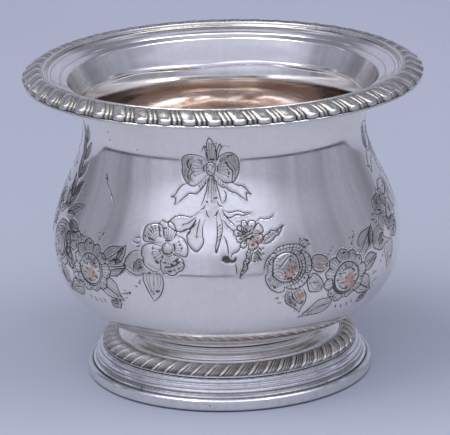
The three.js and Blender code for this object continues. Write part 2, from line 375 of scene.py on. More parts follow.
class Engraving:
    """The strokes of one festoon on the flattened wall, its raised places and its worn ones."""

    def __init__(self):
        self.strokes = []
        self.swells = []
        self.shaded = []
        self.worn = []
        self.copper = 1.0
        self.hand = random.Random(11)
        self.spot(0, BELLY_HEIGHT)

    def spot(self, around, height):
        """Moves the paper so that its origin is at an angle from the bow and a height."""
        self.around = around
        self.along = bowl_wall.along_at(height)

    def flat(self, points):
        """Points of the paper in the flattened wall."""
        points = np.asarray(points, float)
        along = self.along + points[:, 1]
        radius = bowl_wall.point(along)[:, 0]
        across = math.radians(self.around) + points[:, 0] / radius
        return np.stack([across * PLAN_RADIUS, along], 1)

    def cut(self, points, width=LINE_WIDTH, closed=False, depth=LINE_DEPTH, ink=1.0):
        """Cuts one smooth stroke through a few points, thinner towards its ends."""
        line = self.flat(smooth(points, closed))
        if closed:
            line = np.vstack([line, line[:1]])
        share = np.linspace(0, 1, len(line))
        swing = np.ones(len(line)) if closed else 1 - TAPER * np.abs(2 * share - 1) ** 2
        self.strokes.append((line, width * swing, depth * swing, ink * np.ones(len(line))))

    def fine(self, *lines, ink=FINE_INK):
        """Cuts fine shading strokes."""
        for line in lines:
            self.cut(line, FINE_WIDTH, depth=LINE_DEPTH * 0.55, ink=ink)

    def dot(self, x, y, width=0.9):
        """Cuts one dot."""
        self.cut([(x - 0.12, y), (x + 0.12, y)], width, depth=LINE_DEPTH * 1.3)

    def shade(self, points, strength=LEAF_TONE):
        """Dulls the metal inside a closed outline."""
        self.shaded.append((self.flat(smooth(points, closed=True)), strength))

    def wear(self, x, y, radius, strength=1.0):
        """Marks a place where the plate is worn down to the copper."""
        self.worn.append((self.flat([(x, y)])[0], radius, strength * self.copper))

    def swell(self, x, y, wide, high, height):
        """Raises a round or oval place."""
        self.swells.append((self.flat([(x, y)])[0], wide, high, height))

    def hatch(self, start, end, reach, count, lean=0.0):
        """Fine strokes side by side from start to end, each running to reach and leaning."""
        start, end, reach = (np.array(place, float) for place in (start, end, reach))
        for i in range(count):
            here = start + (end - start) * (i + 0.5) / count
            length = 1 + self.hand.uniform(-0.25, 0.25)
            self.fine([here, here + (reach + (end - start) * lean) * length])

    def fan(self, middle, start, end, inner, outer, count, curl=0.0):
        """Fine strokes that spread from a middle, between two directions and two distances."""
        middle = np.array(middle, float)
        for i in range(count):
            angle = start + (end - start) * (i + 0.5) / count + self.hand.uniform(-1.2, 1.2)
            reach = outer * (1 + self.hand.uniform(-0.07, 0.07))
            mid = (inner + reach) / 2
            self.fine([middle + polar(inner, angle), middle + polar(mid, angle + curl * 0.6),
                       middle + polar(reach, angle + curl)])

    def comb(self, edge, towards, reach, count):
        """Fine strokes that start evenly along a line and run towards a place."""
        line = smooth(edge)
        for i in range(count):
            here = line[int((i + 0.5) / count * len(line))]
            way = np.array(towards, float) - here
            length = reach * (1 + self.hand.uniform(-0.25, 0.25))
            self.fine([here, here + way / np.linalg.norm(way) * length])

    def blade(self, edge, back, lines=3, tone=LEAF_TONE, ink=0.75):
        """A leaf or petal between two edges, shaded, with fine lines that follow its form."""
        self.cut(edge)
        self.cut(back)
        self.shade([*edge, *back[-2:0:-1]], tone)
        one, other = smooth(edge), smooth(back)
        for i in range(lines):
            share = (i + 1) / (lines + 1)
            along = np.linspace(self.hand.uniform(0.02, 0.15), self.hand.uniform(0.7, 0.93), 6)
            first = one[(along * (len(one) - 1)).astype(int)]
            second = other[(along * (len(other) - 1)).astype(int)]
            self.fine(first * (1 - share) + second * share, ink=ink)

    def leaf(self, base, tip, left, right, lines=0):
        """A leaf from base to tip, bulging to both sides, shaded, with lines along it and a rib."""
        base, tip = np.array(base, float), np.array(tip, float)
        way = tip - base
        side = np.array([-way[1], way[0]]) / np.linalg.norm(way)

        def edge(bulge, start=0.0, end=1.0):
            places = [(start, 0), (start + (LEAF_BELLY - start) * 0.4, 0.7), (LEAF_BELLY, 1),
                      ((LEAF_BELLY + end) / 2, 0.72), (end, 0)]
            return [base + way * along + side * bulge * out for along, out in places]

        self.shade(edge(left) + edge(-right)[-2:0:-1])
        for bulge in (left, -right):
            self.cut(edge(bulge))
            for i in range(lines):
                share = (i + 1) / (lines + 1)
                start = 0.06 + 0.05 * self.hand.random()
                end = 0.94 - 0.3 * self.hand.random()
                self.fine(edge(bulge * share, start, end), ink=0.7)
        middle = base + way * LEAF_RIB * 0.5 + side * (left - right) * 0.1
        self.cut([base, middle, base + way * LEAF_RIB], FINE_WIDTH * 1.2)

    def petal(self, middle, facing, inner, outer, spread, waves=0, wave=0.25, width=LINE_WIDTH):
        """The round edge of a petal, scalloped where it has waves."""
        middle = np.array(middle, float)
        edge = []
        for i in range(SCALLOP_STEPS + 1):
            turn = math.pi * i / SCALLOP_STEPS
            share = -math.copysign(abs(math.cos(turn)) ** 0.75, math.cos(turn)) / 2
            reach = inner + (outer - inner) * abs(math.sin(turn)) ** 0.6
            reach += wave * math.sin(turn) ** 2 * math.cos(2 * math.pi * waves * share) * min(1, waves)
            edge.append(middle + polar(reach + self.hand.uniform(-0.06, 0.06), facing + spread * share))
        self.cut(edge, width)

    def ring(self, middle, radius, width=LINE_WIDTH, start=0, end=360):
        """A round stroke, or part of one."""
        angles = np.linspace(start, end, SCALLOP_STEPS + 1)
        self.cut([np.array(middle) + polar(radius, angle) for angle in angles], width)


def engrave_bow(paper):
    """The ribbon bow with its tuft, tails and the leaves that hang from it."""
    paper.spot(0, 90.5)
    paper.cut([(-0.8, 2.6), (-1.2, 6.0), (-1.2, 9.4), (-0.1, 11.6), (1.3, 9.2), (2.0, 6.5), (1.9, 3.1)])
    paper.cut([(-3.1, 6.1), (-2.1, 8.2), (-0.9, 6.8)])
    paper.cut([(-2.0, 7.8), (-1.6, 5.4), (-0.9, 2.9)])
    paper.cut([(2.2, 3.0), (2.4, 6.6), (3.3, 8.8), (3.9, 8.0), (3.1, 6.0), (2.5, 3.0)])
    paper.fan((0.4, -1.5), 77, 99, 5.0, 10.6, 3)
    paper.shade([(-0.7, 2.8), (-1.0, 6.0), (-0.6, 9.4), (1.0, 9.4), (1.7, 6.4), (1.7, 3.1)], 0.75)
    paper.cut([(4.0, 8.0), (5.0, 8.4), (6.4, 8.1)], FINE_WIDTH)
    # Loops, each with its fold
    paper.cut([(-1.6, 1.8), (-2.4, 3.8), (-4.2, 4.6), (-7.6, 4.9), (-10.1, 3.6), (-10.2, 0.7),
               (-10.1, -2.2), (-8.8, -4.8), (-6.6, -6.2), (-4.4, -5.4), (-1.2, -2.4)])
    paper.cut([(-6.4, 4.0), (-8.5, 1.8), (-7.6, -0.2), (-8.2, -2.7), (-6.5, -5.0)])
    paper.cut([(-5.8, 2.8), (-7.2, 0.9), (-6.6, -1.5), (-7.4, -2.9), (-6.0, -4.9)], FINE_WIDTH * 1.3)
    paper.fine([(-9.6, 3.2), (-9.2, 0.4), (-9.4, -2.4), (-7.9, -5.0)],
               [(-9.0, 3.6), (-8.2, 1.0), (-8.9, -1.8), (-7.8, -4.4)],
               [(-8.2, 4.0), (-7.8, 2.0), (-7.2, 0.4)], [(-6.9, 1.0), (-6.0, -1.0), (-6.6, -3.4)])
    paper.shade([(-6.2, 4.4), (-9.9, 3.4), (-9.9, -2.0), (-8.6, -4.6), (-7.0, -4.8), (-6.6, -1.0),
                 (-7.4, 1.4)], 0.66)
    paper.fan((0, 0), 152, 210, 2.6, 6.4, 5)
    paper.cut([(1.7, 1.8), (2.5, 3.6), (3.8, 4.8), (5.4, 5.6), (7.2, 5.6), (8.8, 4.6), (9.8, 2.8),
               (10.0, -0.2), (9.5, -2.5), (8.2, -4.6), (6.8, -4.9), (4.8, -4.8), (1.5, -2.2)])
    paper.cut([(4.9, 3.4), (5.4, 1.9), (6.6, 0.2), (7.7, -1.3), (7.5, -4.4)], 0.9)
    paper.cut([(5.9, 4.4), (6.8, 2.2), (8.0, 0.6), (8.7, -1.2), (8.4, -3.7)], 0.55)
    paper.fine([(7.0, 4.8), (8.2, 2.4), (9.2, -0.4)], [(8.0, 4.4), (9.0, 2.2), (9.5, 0.2)],
               [(4.0, 4.2), (5.6, 3.9), (7.2, 4.7)], [(5.0, 4.9), (6.4, 4.6), (7.8, 4.9)])
    paper.shade([(4.6, 4.4), (7.2, 5.4), (9.6, 2.8), (9.8, -0.4), (8.4, -4.0), (7.7, -1.3),
                 (5.4, 1.9)], 0.68)
    paper.fan((0, 0), -32, 26, 2.6, 6.2, 5)
    # Knot
    paper.cut([(-1.6, 0), (-1.2, 1.7), (0.0, 2.3), (1.3, 1.6), (1.6, 0), (1.2, -1.8), (0, -2.4),
               (-1.2, -1.7)], closed=True)
    paper.swell(0, 0, 1.9, 2.5, 0.22)
    paper.fine([(-1.0, 0.5), (-0.2, 1.4), (0.8, 0.8), (0.3, -0.3), (-0.7, -0.7)],
               [(-0.4, -1.0), (0.5, -1.7)])
    # Tails
    paper.cut([(-8.6, -5.4), (-10.4, -6.3), (-11.9, -8.0), (-12.9, -9.6), (-14.3, -10.4)])
    paper.cut([(-14.3, -10.4), (-12.7, -10.8), (-13.0, -13.1)])
    paper.cut([(-13.0, -13.1), (-11.6, -12.2), (-9.3, -10.1), (-7.6, -8.9), (-5.4, -8.9),
               (-3.8, -7.8), (-2.3, -6.0), (-0.7, -3.4)])
    paper.hatch((-4.4, -6.6), (-1.6, -3.6), (-0.2, -1.5), 4)
    paper.cut([(7.6, -5.2), (9.5, -6.0), (11.4, -6.5), (13.1, -8.2), (14.3, -9.4)])
    paper.cut([(14.3, -9.5), (12.6, -9.0), (12.9, -11.6)])
    paper.cut([(12.9, -11.6), (10.5, -9.9), (8.8, -8.7), (7.1, -8.1), (5.5, -6.9), (3.6, -6.3),
               (1.8, -4.2)])
    paper.hatch((2.4, -3.4), (6.4, -5.4), (-0.2, -1.2), 5)
    paper.cut([(-0.6, -2.8), (-1.5, -7.5), (-2.0, -9.4), (-2.8, -11.8), (-3.5, -13.1)])
    paper.cut([(-1.8, -12.5), (-2.5, -14.0), (-3.6, -14.3)])
    paper.cut([(1.1, -2.6), (2.5, -7.0), (3.3, -9.9), (4.0, -12.3)])
    paper.cut([(2.3, -11.1), (3.0, -13.0), (4.5, -13.3)])
    paper.cut([(4.6, -7.5), (5.4, -8.9), (5.3, -10.8), (4.3, -12.2)])
    paper.cut([(-1.6, -14.2), (-1.1, -16.4), (-0.1, -17.3)])
    paper.cut([(2.8, -14.2), (2.3, -15.9), (1.1, -16.7)])
    paper.fan((0.2, 2.0), -98, -78, 4.8, 12.6, 4)
    paper.shade([(-0.6, -3.0), (-1.4, -7.0), (-1.0, -10.0), (0.8, -12.4), (2.4, -10.0), (2.2, -7.0),
                 (1.0, -3.0)], 0.62)
    paper.shade([(-1.2, -12.6), (-1.0, -16.0), (0.4, -17.2), (2.2, -15.6), (2.4, -12.6), (0.6, -11.4)],
                FAINT_TONE)
    # Leaves under the bow
    paper.cut([(-4.0, -15.0), (-5.9, -16.4), (-7.3, -17.2), (-9.3, -16.8), (-11.4, -16.9),
               (-13.6, -17.9), (-15.3, -20.2), (-13.1, -22.0), (-10.7, -22.5), (-8.1, -21.7),
               (-6.4, -20.0), (-4.9, -17.6)])
    paper.cut([(-9.6, -20.0), (-7.3, -19.0), (-5.2, -17.2)])
    paper.dot(-9.7, -20.0, 1.0)
    paper.shade([(-4.4, -15.6), (-7.3, -17.2), (-11.4, -16.9), (-15.3, -20.2), (-10.7, -22.5),
                 (-6.4, -20.0)], FAINT_TONE)
    paper.cut([(-5.0, -18.4), (-6.9, -21.5), (-8.1, -23.4), (-8.1, -25.3), (-7.0, -27.6), (-4.8, -29.2),
               (-2.9, -27.5), (-2.3, -25.6), (-2.65, -23.4), (-2.6, -20.0), (-1.8, -17.6)])
    paper.cut([(-4.7, -23.8), (-4.5, -21.5), (-3.6, -17.4)])
    paper.dot(-4.7, -24.0, 1.0)
    paper.shade([(-3.4, -18.4), (-5.4, -19.3), (-8.1, -23.4), (-7.0, -27.6), (-4.8, -29.2),
                 (-2.4, -25.6)], FAINT_TONE)
    paper.cut([(2.0, -15.4), (2.4, -19.5), (2.5, -24.4), (2.0, -27.8), (2.3, -29.4), (3.3, -26.3),
               (4.3, -21.5), (4.0, -18.4), (3.1, -15.4)])
    paper.hatch((2.7, -20.0), (2.9, -26.0), (0.8, 0.7), 5)
    paper.cut([(4.0, -14.3), (5.7, -17.2), (7.6, -19.1), (8.9, -20.4)])
    paper.cut([(4.7, -18.1), (6.6, -20.8), (8.7, -22.4)])
    paper.cut([(4.5, -14.3), (6.6, -15.5), (9.5, -15.0), (11.7, -15.8), (15.1, -15.7)])
    paper.cut([(4.7, -16.2), (7.1, -17.4), (9.0, -16.3), (11.7, -16.7), (14.2, -16.2)])
    paper.fine([(9.3, -18.7), (10.7, -18.7)], [(9.3, -20.8), (11.2, -20.6)])
    paper.cut([(4.9, -23.7), (5.8, -26.0), (6.4, -28.8), (6.4, -30.8)])
    paper.cut([(5.1, -31.7), (6.1, -32.1)], 4.2)
    paper.cut([(4.9, -31.5), (5.9, -32.3), (6.8, -32.3)], 2.8)
    paper.cut([(6.6, -32.3), (7.8, -32.8), (8.8, -32.3), (9.0, -31.4)], 1.8)
    paper.cut([(7.4, -31.5), (8.0, -30.0), (9.8, -29.2), (10.8, -27.6)])
    paper.cut([(8.9, -33.6), (9.3, -35.4), (9.4, -37.6)])


# Petals of the small blossom: direction, length, half width, and where they are widest
STAR_PETALS = (
    (108, 5.6, 1.0, 0.72), (70, 5.4, 1.5, 0.8), (27, 5.6, 1.9, 0.86), (-22, 5.2, 1.7, 0.8),
    (-72, 5.4, 1.9, 0.8), (-122, 5.0, 1.1, 0.7), (-160, 4.6, 1.4, 0.75), (166, 5.4, 1.2, 0.7),
    (138, 5.0, 1.0, 0.66),
)


def engrave_star(paper):
    """The small blossom right of the bow's leaves, with its two wavy leaves."""
    paper.spot(12.9, 68.3)
    for facing, outer, half, back in STAR_PETALS:
        way, side = polar(1, facing), polar(1, facing + 90)
        places = [(1.4, 0.1), (2.8, 0.5), (outer * back, 1), (outer * 0.96, 0.55), (outer, -0.1),
                  (outer * 0.94, -0.7), (outer * back * 0.96, -0.9), (2.6, -0.45), (1.4, -0.1)]
        paper.cut([way * along + side * half * out for along, out in places], 0.62)
        heart = ((0.8, 0.4), (outer * 0.55, 0.9), (outer * 0.6, -0.8), (0.8, -0.4))
        paper.shade([way * along + side * half * out for along, out in heart], 0.7)
        paper.fine([way * 1.2, way * outer * 0.62])
    paper.cut([(-1.7, -0.7), (0.0, 0.2), (1.4, 0.6)], 1.1)
    paper.swell(0.2, 0.0, 2.0, 1.5, 0.2)
    paper.wear(3.2, 0.9, 2.3)
    paper.wear(0.9, -3.2, 2.0)
    paper.wear(3.2, -1.8, 1.8)
    edge = [(-0.6, -5.0), (-1.3, -6.6), (-1.3, -8.0), (-2.4, -9.4), (-2.5, -11.0), (-3.4, -12.6),
            (-4.0, -14.9)]
    back = [(1.4, -5.4), (0.4, -7.6), (0.2, -8.8), (-1.0, -10.4), (-1.2, -11.8), (-2.4, -13.2),
            (-4.0, -14.9)]
    paper.cut(edge)
    paper.cut(back)
    paper.shade(edge + back[-2::-1])
    paper.fine([(0.2, -6.0), (-0.6, -9.0), (-2.2, -12.0)])
    paper.comb(edge, (0.6, -8.0), 0.9, 8)
    edge = [(4.6, -2.4), (5.6, -0.6), (7.0, 0.0), (8.2, 1.0), (10.0, 0.8), (12.8, 2.6)]
    back = [(4.4, -3.2), (6.2, -3.4), (8.4, -2.4), (9.4, -1.2), (10.8, -0.6), (12.8, 2.6)]
    paper.cut(edge)
    paper.cut(back)
    paper.shade(edge + back[-2::-1])
    paper.cut([(5.4, -2.6), (8.0, -0.9), (10.6, 0.6)], FINE_WIDTH)
    paper.comb(edge, (8.0, -3.0), 1.0, 8)
    paper.cut([(3.2, 4.8), (4.6, 5.6), (6.4, 5.2), (8.4, 5.6), (9.8, 6.9)], FINE_WIDTH * 1.5)
    paper.shade([(2.0, -5.6), (4.0, -4.4), (7.0, -5.0), (5.6, -8.0), (2.6, -10.4), (0.8, -9.0)],
                FAINT_TONE)
    for _ in range(STIPPLES):
        x, y = 1.2 + 5.2 * paper.hand.random(), -9.4 + 4.8 * paper.hand.random()
        if x * 0.9 - y * 0.5 < 8:
            paper.fine([(x, y), (x + 0.5, y + 0.35)])


def engrave_rose(paper):
    """The cupped rose, its crescent petals and the pointed leaf under it."""
    paper.spot(24.3, 56.5)
    middle = (0, 0)
    bud = [(-4.9, -0.4), (-4.7, -2.7), (-2.2, -5.0), (1.1, -5.4), (3.8, -3.9), (5.0, -1.0), (4.5, 2.8),
           (2.0, 5.0), (-1.6, 4.8), (-4.1, 3.0)]
    paper.swell(0, 0, 5.4, 5.4, 0.6)
    paper.shade(bud, ROSE_TONE)
    paper.cut(bud, 0.8, closed=True)
    paper.ring((0.3, -0.2), 5.9, 0.8, -70, 20)
    paper.cut([(-4.6, 1.0), (-3.2, 1.2), (-2.0, 0.6), (-0.8, 1.6), (0.8, 3.2), (2.6, 3.4),
               (3.6, 2.0)], 0.6)
    paper.cut([(-4.4, -0.4), (-2.8, 0.0), (-1.2, -0.6), (0.0, 0.8), (1.4, 2.2)], 0.5)
    paper.cut([(-4.0, 2.4), (-2.6, 2.2), (-1.0, 3.0), (0.6, 4.4)], 0.5)
    paper.cut([(-4.5, -1.6), (-2.8, -1.2), (-1.0, -2.0), (0.2, -0.8)], 0.45)
    paper.fine([(-3.4, 3.4), (-2.0, 3.2), (-0.4, 4.2)], [(-3.6, -2.8), (-2.0, -2.6), (-0.6, -3.2)],
               [(0.6, 0.4), (1.2, -1.6), (0.6, -3.8)], [(1.6, 1.2), (2.3, -1.0), (1.8, -3.6)],
               [(2.6, 1.4), (3.3, -0.8), (2.8, -2.8)], [(3.6, 1.0), (4.1, -0.4), (3.8, -1.8)],
               [(-0.6, -1.4), (-0.2, -2.8), (-0.9, -4.4)], [(-2.8, -3.6), (-1.4, -4.2), (0.2, -4.4)])
    paper.wear(1.6, -1.2, 2.8)
    paper.wear(0.2, -3.4, 2.2, 0.8)
    paper.wear(2.0, 2.8, 1.8, 0.8)
    # Crescent petals round the bud, combed from their edges
    crescent = [(2.4, 5.8), (4.6, 5.3), (6.9, 3.7), (7.7, 0.4), (7.0, -2.9), (4.4, -5.8), (0.8, -7.1)]
    paper.cut(crescent)
    paper.shade(crescent + [(1.1, -5.4), (3.8, -3.9), (5.0, -1.0), (4.5, 2.8)], FAINT_TONE)
    paper.comb(crescent, middle, 1.7, 15)
    outer = [(6.0, 5.0), (7.8, 4.5), (9.5, 2.6), (10.0, -0.6), (9.2, -2.9), (7.2, -3.0)]
    paper.cut(outer)
    paper.shade([*outer, (7.7, 0.4)], ROSE_TONE)
    paper.comb(outer, middle, 1.5, 7)
    lower = [(8.0, -3.2), (8.3, -5.0), (6.8, -7.2), (4.4, -8.4), (1.6, -8.3), (-0.6, -7.4)]
    paper.cut(lower)
    paper.shade([*lower, (4.4, -5.8), (7.0, -2.9)], ROSE_TONE)
    paper.comb(lower, middle, 1.4, 7)
    left = [(-5.3, -0.8), (-7.4, -1.9), (-7.5, -4.4), (-6.4, -6.6), (-5.1, -8.0), (-2.8, -9.1),
            (-0.9, -8.5), (-0.9, -6.8)]
    paper.cut(left)
    paper.shade([*left, (-1.4, -5.2), (-4.4, -3.2)], ROSE_TONE)
    paper.comb([(-5.2, -1.6), (-4.8, -3.6), (-3.4, -5.2), (-1.0, -6.0)], (-11, -11), 2.2, 8)
    paper.cut([(-8.1, -0.8), (-7.2, 2.4), (-5.1, 4.9), (-2.8, 5.4)])
    paper.cut([(-6.6, -0.4), (-5.8, 2.2), (-4.2, 3.9)], 0.5)
    paper.shade([(-8.1, -0.8), (-7.2, 2.4), (-5.1, 4.9), (-2.8, 5.4), (-4.1, 3.0), (-5.0, 0)], 0.2)
    paper.comb([(-7.9, -0.4), (-7.0, 2.4), (-5.0, 4.7)], middle, 1.4, 6)
    top = [(-4.4, 5.4), (-2.4, 7.0), (-0.4, 7.6), (3.5, 7.7), (5.8, 7.2), (8.0, 5.4)]
    paper.cut(top)
    paper.cut([(-2.6, 5.6), (0.4, 6.4), (3.6, 6.5), (6.4, 5.2)], 0.5)
    paper.shade([*top, (5.0, 5.3), (1.0, 5.8), (-2.0, 5.2)], 0.2)
    paper.comb(top, middle, 1.4, 10)
    paper.fan((2.0, 0), 66, 40, 8.0, 10.2, 6)
    # Pointed leaf
    paper.cut([(0.6, -8.4), (-0.4, -10.4), (-0.1, -13.3), (2.0, -15.4), (4.0, -16.9), (5.6, -18.9)])
    paper.cut([(5.6, -18.9), (6.1, -16.6), (7.4, -14.5), (7.6, -11.6), (6.2, -8.6)])
    paper.cut([(1.8, -8.8), (2.7, -11.9), (4.9, -14.8)])
    paper.fine([(1.0, -9.8), (1.3, -12.6), (3.2, -15.0)], [(0.4, -10.6), (0.7, -13.0), (2.4, -15.0)],
               [(3.0, -10.2), (4.0, -12.4), (5.4, -14.6)], [(4.0, -9.4), (5.2, -11.8), (5.9, -14.2)],
               [(5.2, -9.2), (6.3, -11.4), (6.5, -13.8)])
    paper.shade([(0.6, -8.8), (-0.3, -10.4), (-0.1, -13.3), (2.0, -15.4), (5.4, -18.4),
                 (2.7, -11.9)], 0.7)
    paper.shade([(1.8, -8.8), (2.7, -11.9), (5.4, -18.0), (7.3, -14.0), (6.6, -9.4)], 0.4)
    paper.hatch((0.2, -10.8), (1.8, -14.2), (1.6, -0.3), 6)
    paper.wear(5.4, -11.6, 2.2, 1.0)
    paper.dot(-3.6, -11.2, 0.5)
    paper.dot(-2.4, -13.2, 0.5)


def engrave_daisy(paper, further, higher):
    """The big open flower with its pitted disc, and the leaves round it."""
    paper.spot(BIG_FLOWER_ANGLE + further, BIG_FLOWER_HEIGHT + higher)
    paper.swell(0, 0, 5.8, 5.8, 0.62)
    paper.ring((0, 0), 5.7, 0.9)
    paper.ring((-0.1, -0.1), 6.3, 0.9, 175, 300)
    paper.ring((0.1, 0), 6.2, 0.6, -60, 60)
    for facing, spread, reach in BIG_FLOWER_PETALS:
        half = spread / 2
        reach += paper.hand.uniform(-0.25, 0.25)
        paper.petal((0, 0), facing, 6.6, reach, spread * 1.02, waves=2, wave=0.2)
        outline = ((5.8, -half), (reach - 0.8, -half * 0.8), (reach - 0.2, 0),
                   (reach - 0.8, half * 0.8), (5.8, half))
        paper.shade([polar(away, facing + turn) for away, turn in outline], PETAL_TONE)
        paper.fan((0, 0), facing - half * 0.8, facing + half * 0.8, 6.3, reach - 1.0, int(spread / 9))
    pits = random.Random(5)
    for _ in range(DISC_PITS):
        x, y = polar(DISC_RADIUS * math.sqrt(pits.random()), 360 * pits.random())
        paper.dot(x, y, pits.choice([0.5, 0.8, 1.1]))
    paper.ring((0.2, 0.2), 3.6, FINE_WIDTH, 20, 160)
    paper.ring((0.2, 0.4), 4.7, 0.5, 190, 320)
    paper.fan((0, 0), 30, 150, 3.6, 5.0, 6)
    under = [polar(5.2, angle) for angle in (170, 215, 260, 305)]
    paper.shade([*under, (1.5, -1.0), (-1.5, 0.5)], 0.35)
    paper.shade([polar(4.4, angle) for angle in range(0, 360, 45)], 0.25)
    paper.wear(1.0, -1.3, 3.6, 1.3)
    paper.wear(-1.6, -0.4, 2.2, 0.7)
    # Leaves towards the next flower. The upper ones stay low where the flower sits higher.
    low = 1.3 * max(0, higher)
    paper.blade([(6.0, 10.2 - low), (7.6, 12.6 - low), (10.1, 14.2 - low), (15.3, 14.9 - low)],
                [(8.8, 5.2), (9.9, 6.7 - low * 0.4), (12.9, 8.9 - low * 0.8), (14.3, 11.6 - low),
                 (15.3, 14.9 - low)], 4)
    paper.cut([(7.2, 7.6 - low * 0.7), (10.2, 10.4 - low), (15.0, 14.6 - low)], 0.5)
    paper.blade([(9.3, 3.4), (10.7, 5.2), (13.3, 6.0), (17.3, 4.4)],
                [(10.2, 2.8), (13.8, 3.4), (17.3, 4.4)], 2)
    paper.blade([(10.4, 1.6), (13.6, 2.6), (17.3, 3.5)],
                [(9.8, -0.3), (12.9, -0.1), (15.6, 1.7), (17.3, 3.5)], 2)
    paper.blade([(8.9, -0.6), (12.6, -3.0), (14.0, -7.0), (15.6, -9.3)],
                [(4.6, -6.0), (7.8, -8.6), (12.5, -9.4), (15.6, -9.3)], 4)
    paper.cut([(6.6, -4.0), (10.6, -6.4), (15.0, -9.0)], 0.5)
    paper.leaf((12.6, 8.4 - low), (16.0, 15.6 - low), 1.0, 1.8, lines=1)
    # Leaves towards the rose
    paper.blade([(-8.0, 7.6), (-9.1, 9.4), (-11.8, 10.8), (-14.3, 10.3), (-15.4, 7.6)],
                [(-9.4, 5.2), (-11.4, 4.4), (-13.8, 5.2), (-15.4, 7.6)], 3)
    paper.wear(-11.6, 6.4, 1.9, 0.9)
    paper.blade([(-10.2, -1.3), (-11.4, 1.7), (-13.8, 4.2), (-16.4, 4.5)],
                [(-10.8, -2.9), (-13.6, -2.8), (-16.1, -2.1), (-17.2, 1.4), (-16.4, 4.5)], 3)
    paper.cut([(-16.4, 0.9), (-13.8, 0.9), (-12.1, -0.4)], 0.5)
    paper.wear(-13.2, -0.6, 2.0, 0.9)
    paper.blade([(-5.3, -8.7), (-6.7, -6.9), (-10.2, -6.4), (-12.6, -7.2), (-15.6, -10.2),
                 (-18.4, -13.0)],
                [(-5.6, -9.6), (-7.1, -11.7), (-9.7, -12.9), (-13.6, -12.9), (-18.4, -13.0)], 5)
    paper.cut([(-6.2, -9.0), (-10.0, -9.4), (-14.8, -11.4)], 0.5)
    # Small half-hidden bud under the leaves
    paper.petal((9.6, -9.0), -60, 1.2, 4.6, 110, waves=3)
    paper.petal((9.6, -9.0), -60, 0.8, 2.8, 90, waves=2, width=FINE_WIDTH)
    paper.fan((9.6, -9.0), -105, -15, 1.6, 3.8, 8)
    # Sprigs of dots
    paper.cut([(3.6, 11.8), (4.6, 13.4)], FINE_WIDTH)
    for x, y in ((3.0, 13.8), (5.4, 14.4), (5.2, 15.6), (-6.6, 11.2), (-7.8, 10.0), (-5.4, 12.2)):
        paper.dot(x, y, 0.8)
    paper.cut([(14.6, -6.6), (17.0, -6.2)], FINE_WIDTH)
    paper.dot(18.2, -5.6, 1.1)
    paper.dot(16.6, -8.0, 0.8)
    for x, y in ((-3.2, -10.8), (-0.4, -11.4), (2.4, -11.2), (4.6, -10.6)):
        paper.cut([(x, y), (x + 1.0, y - 1.6)])


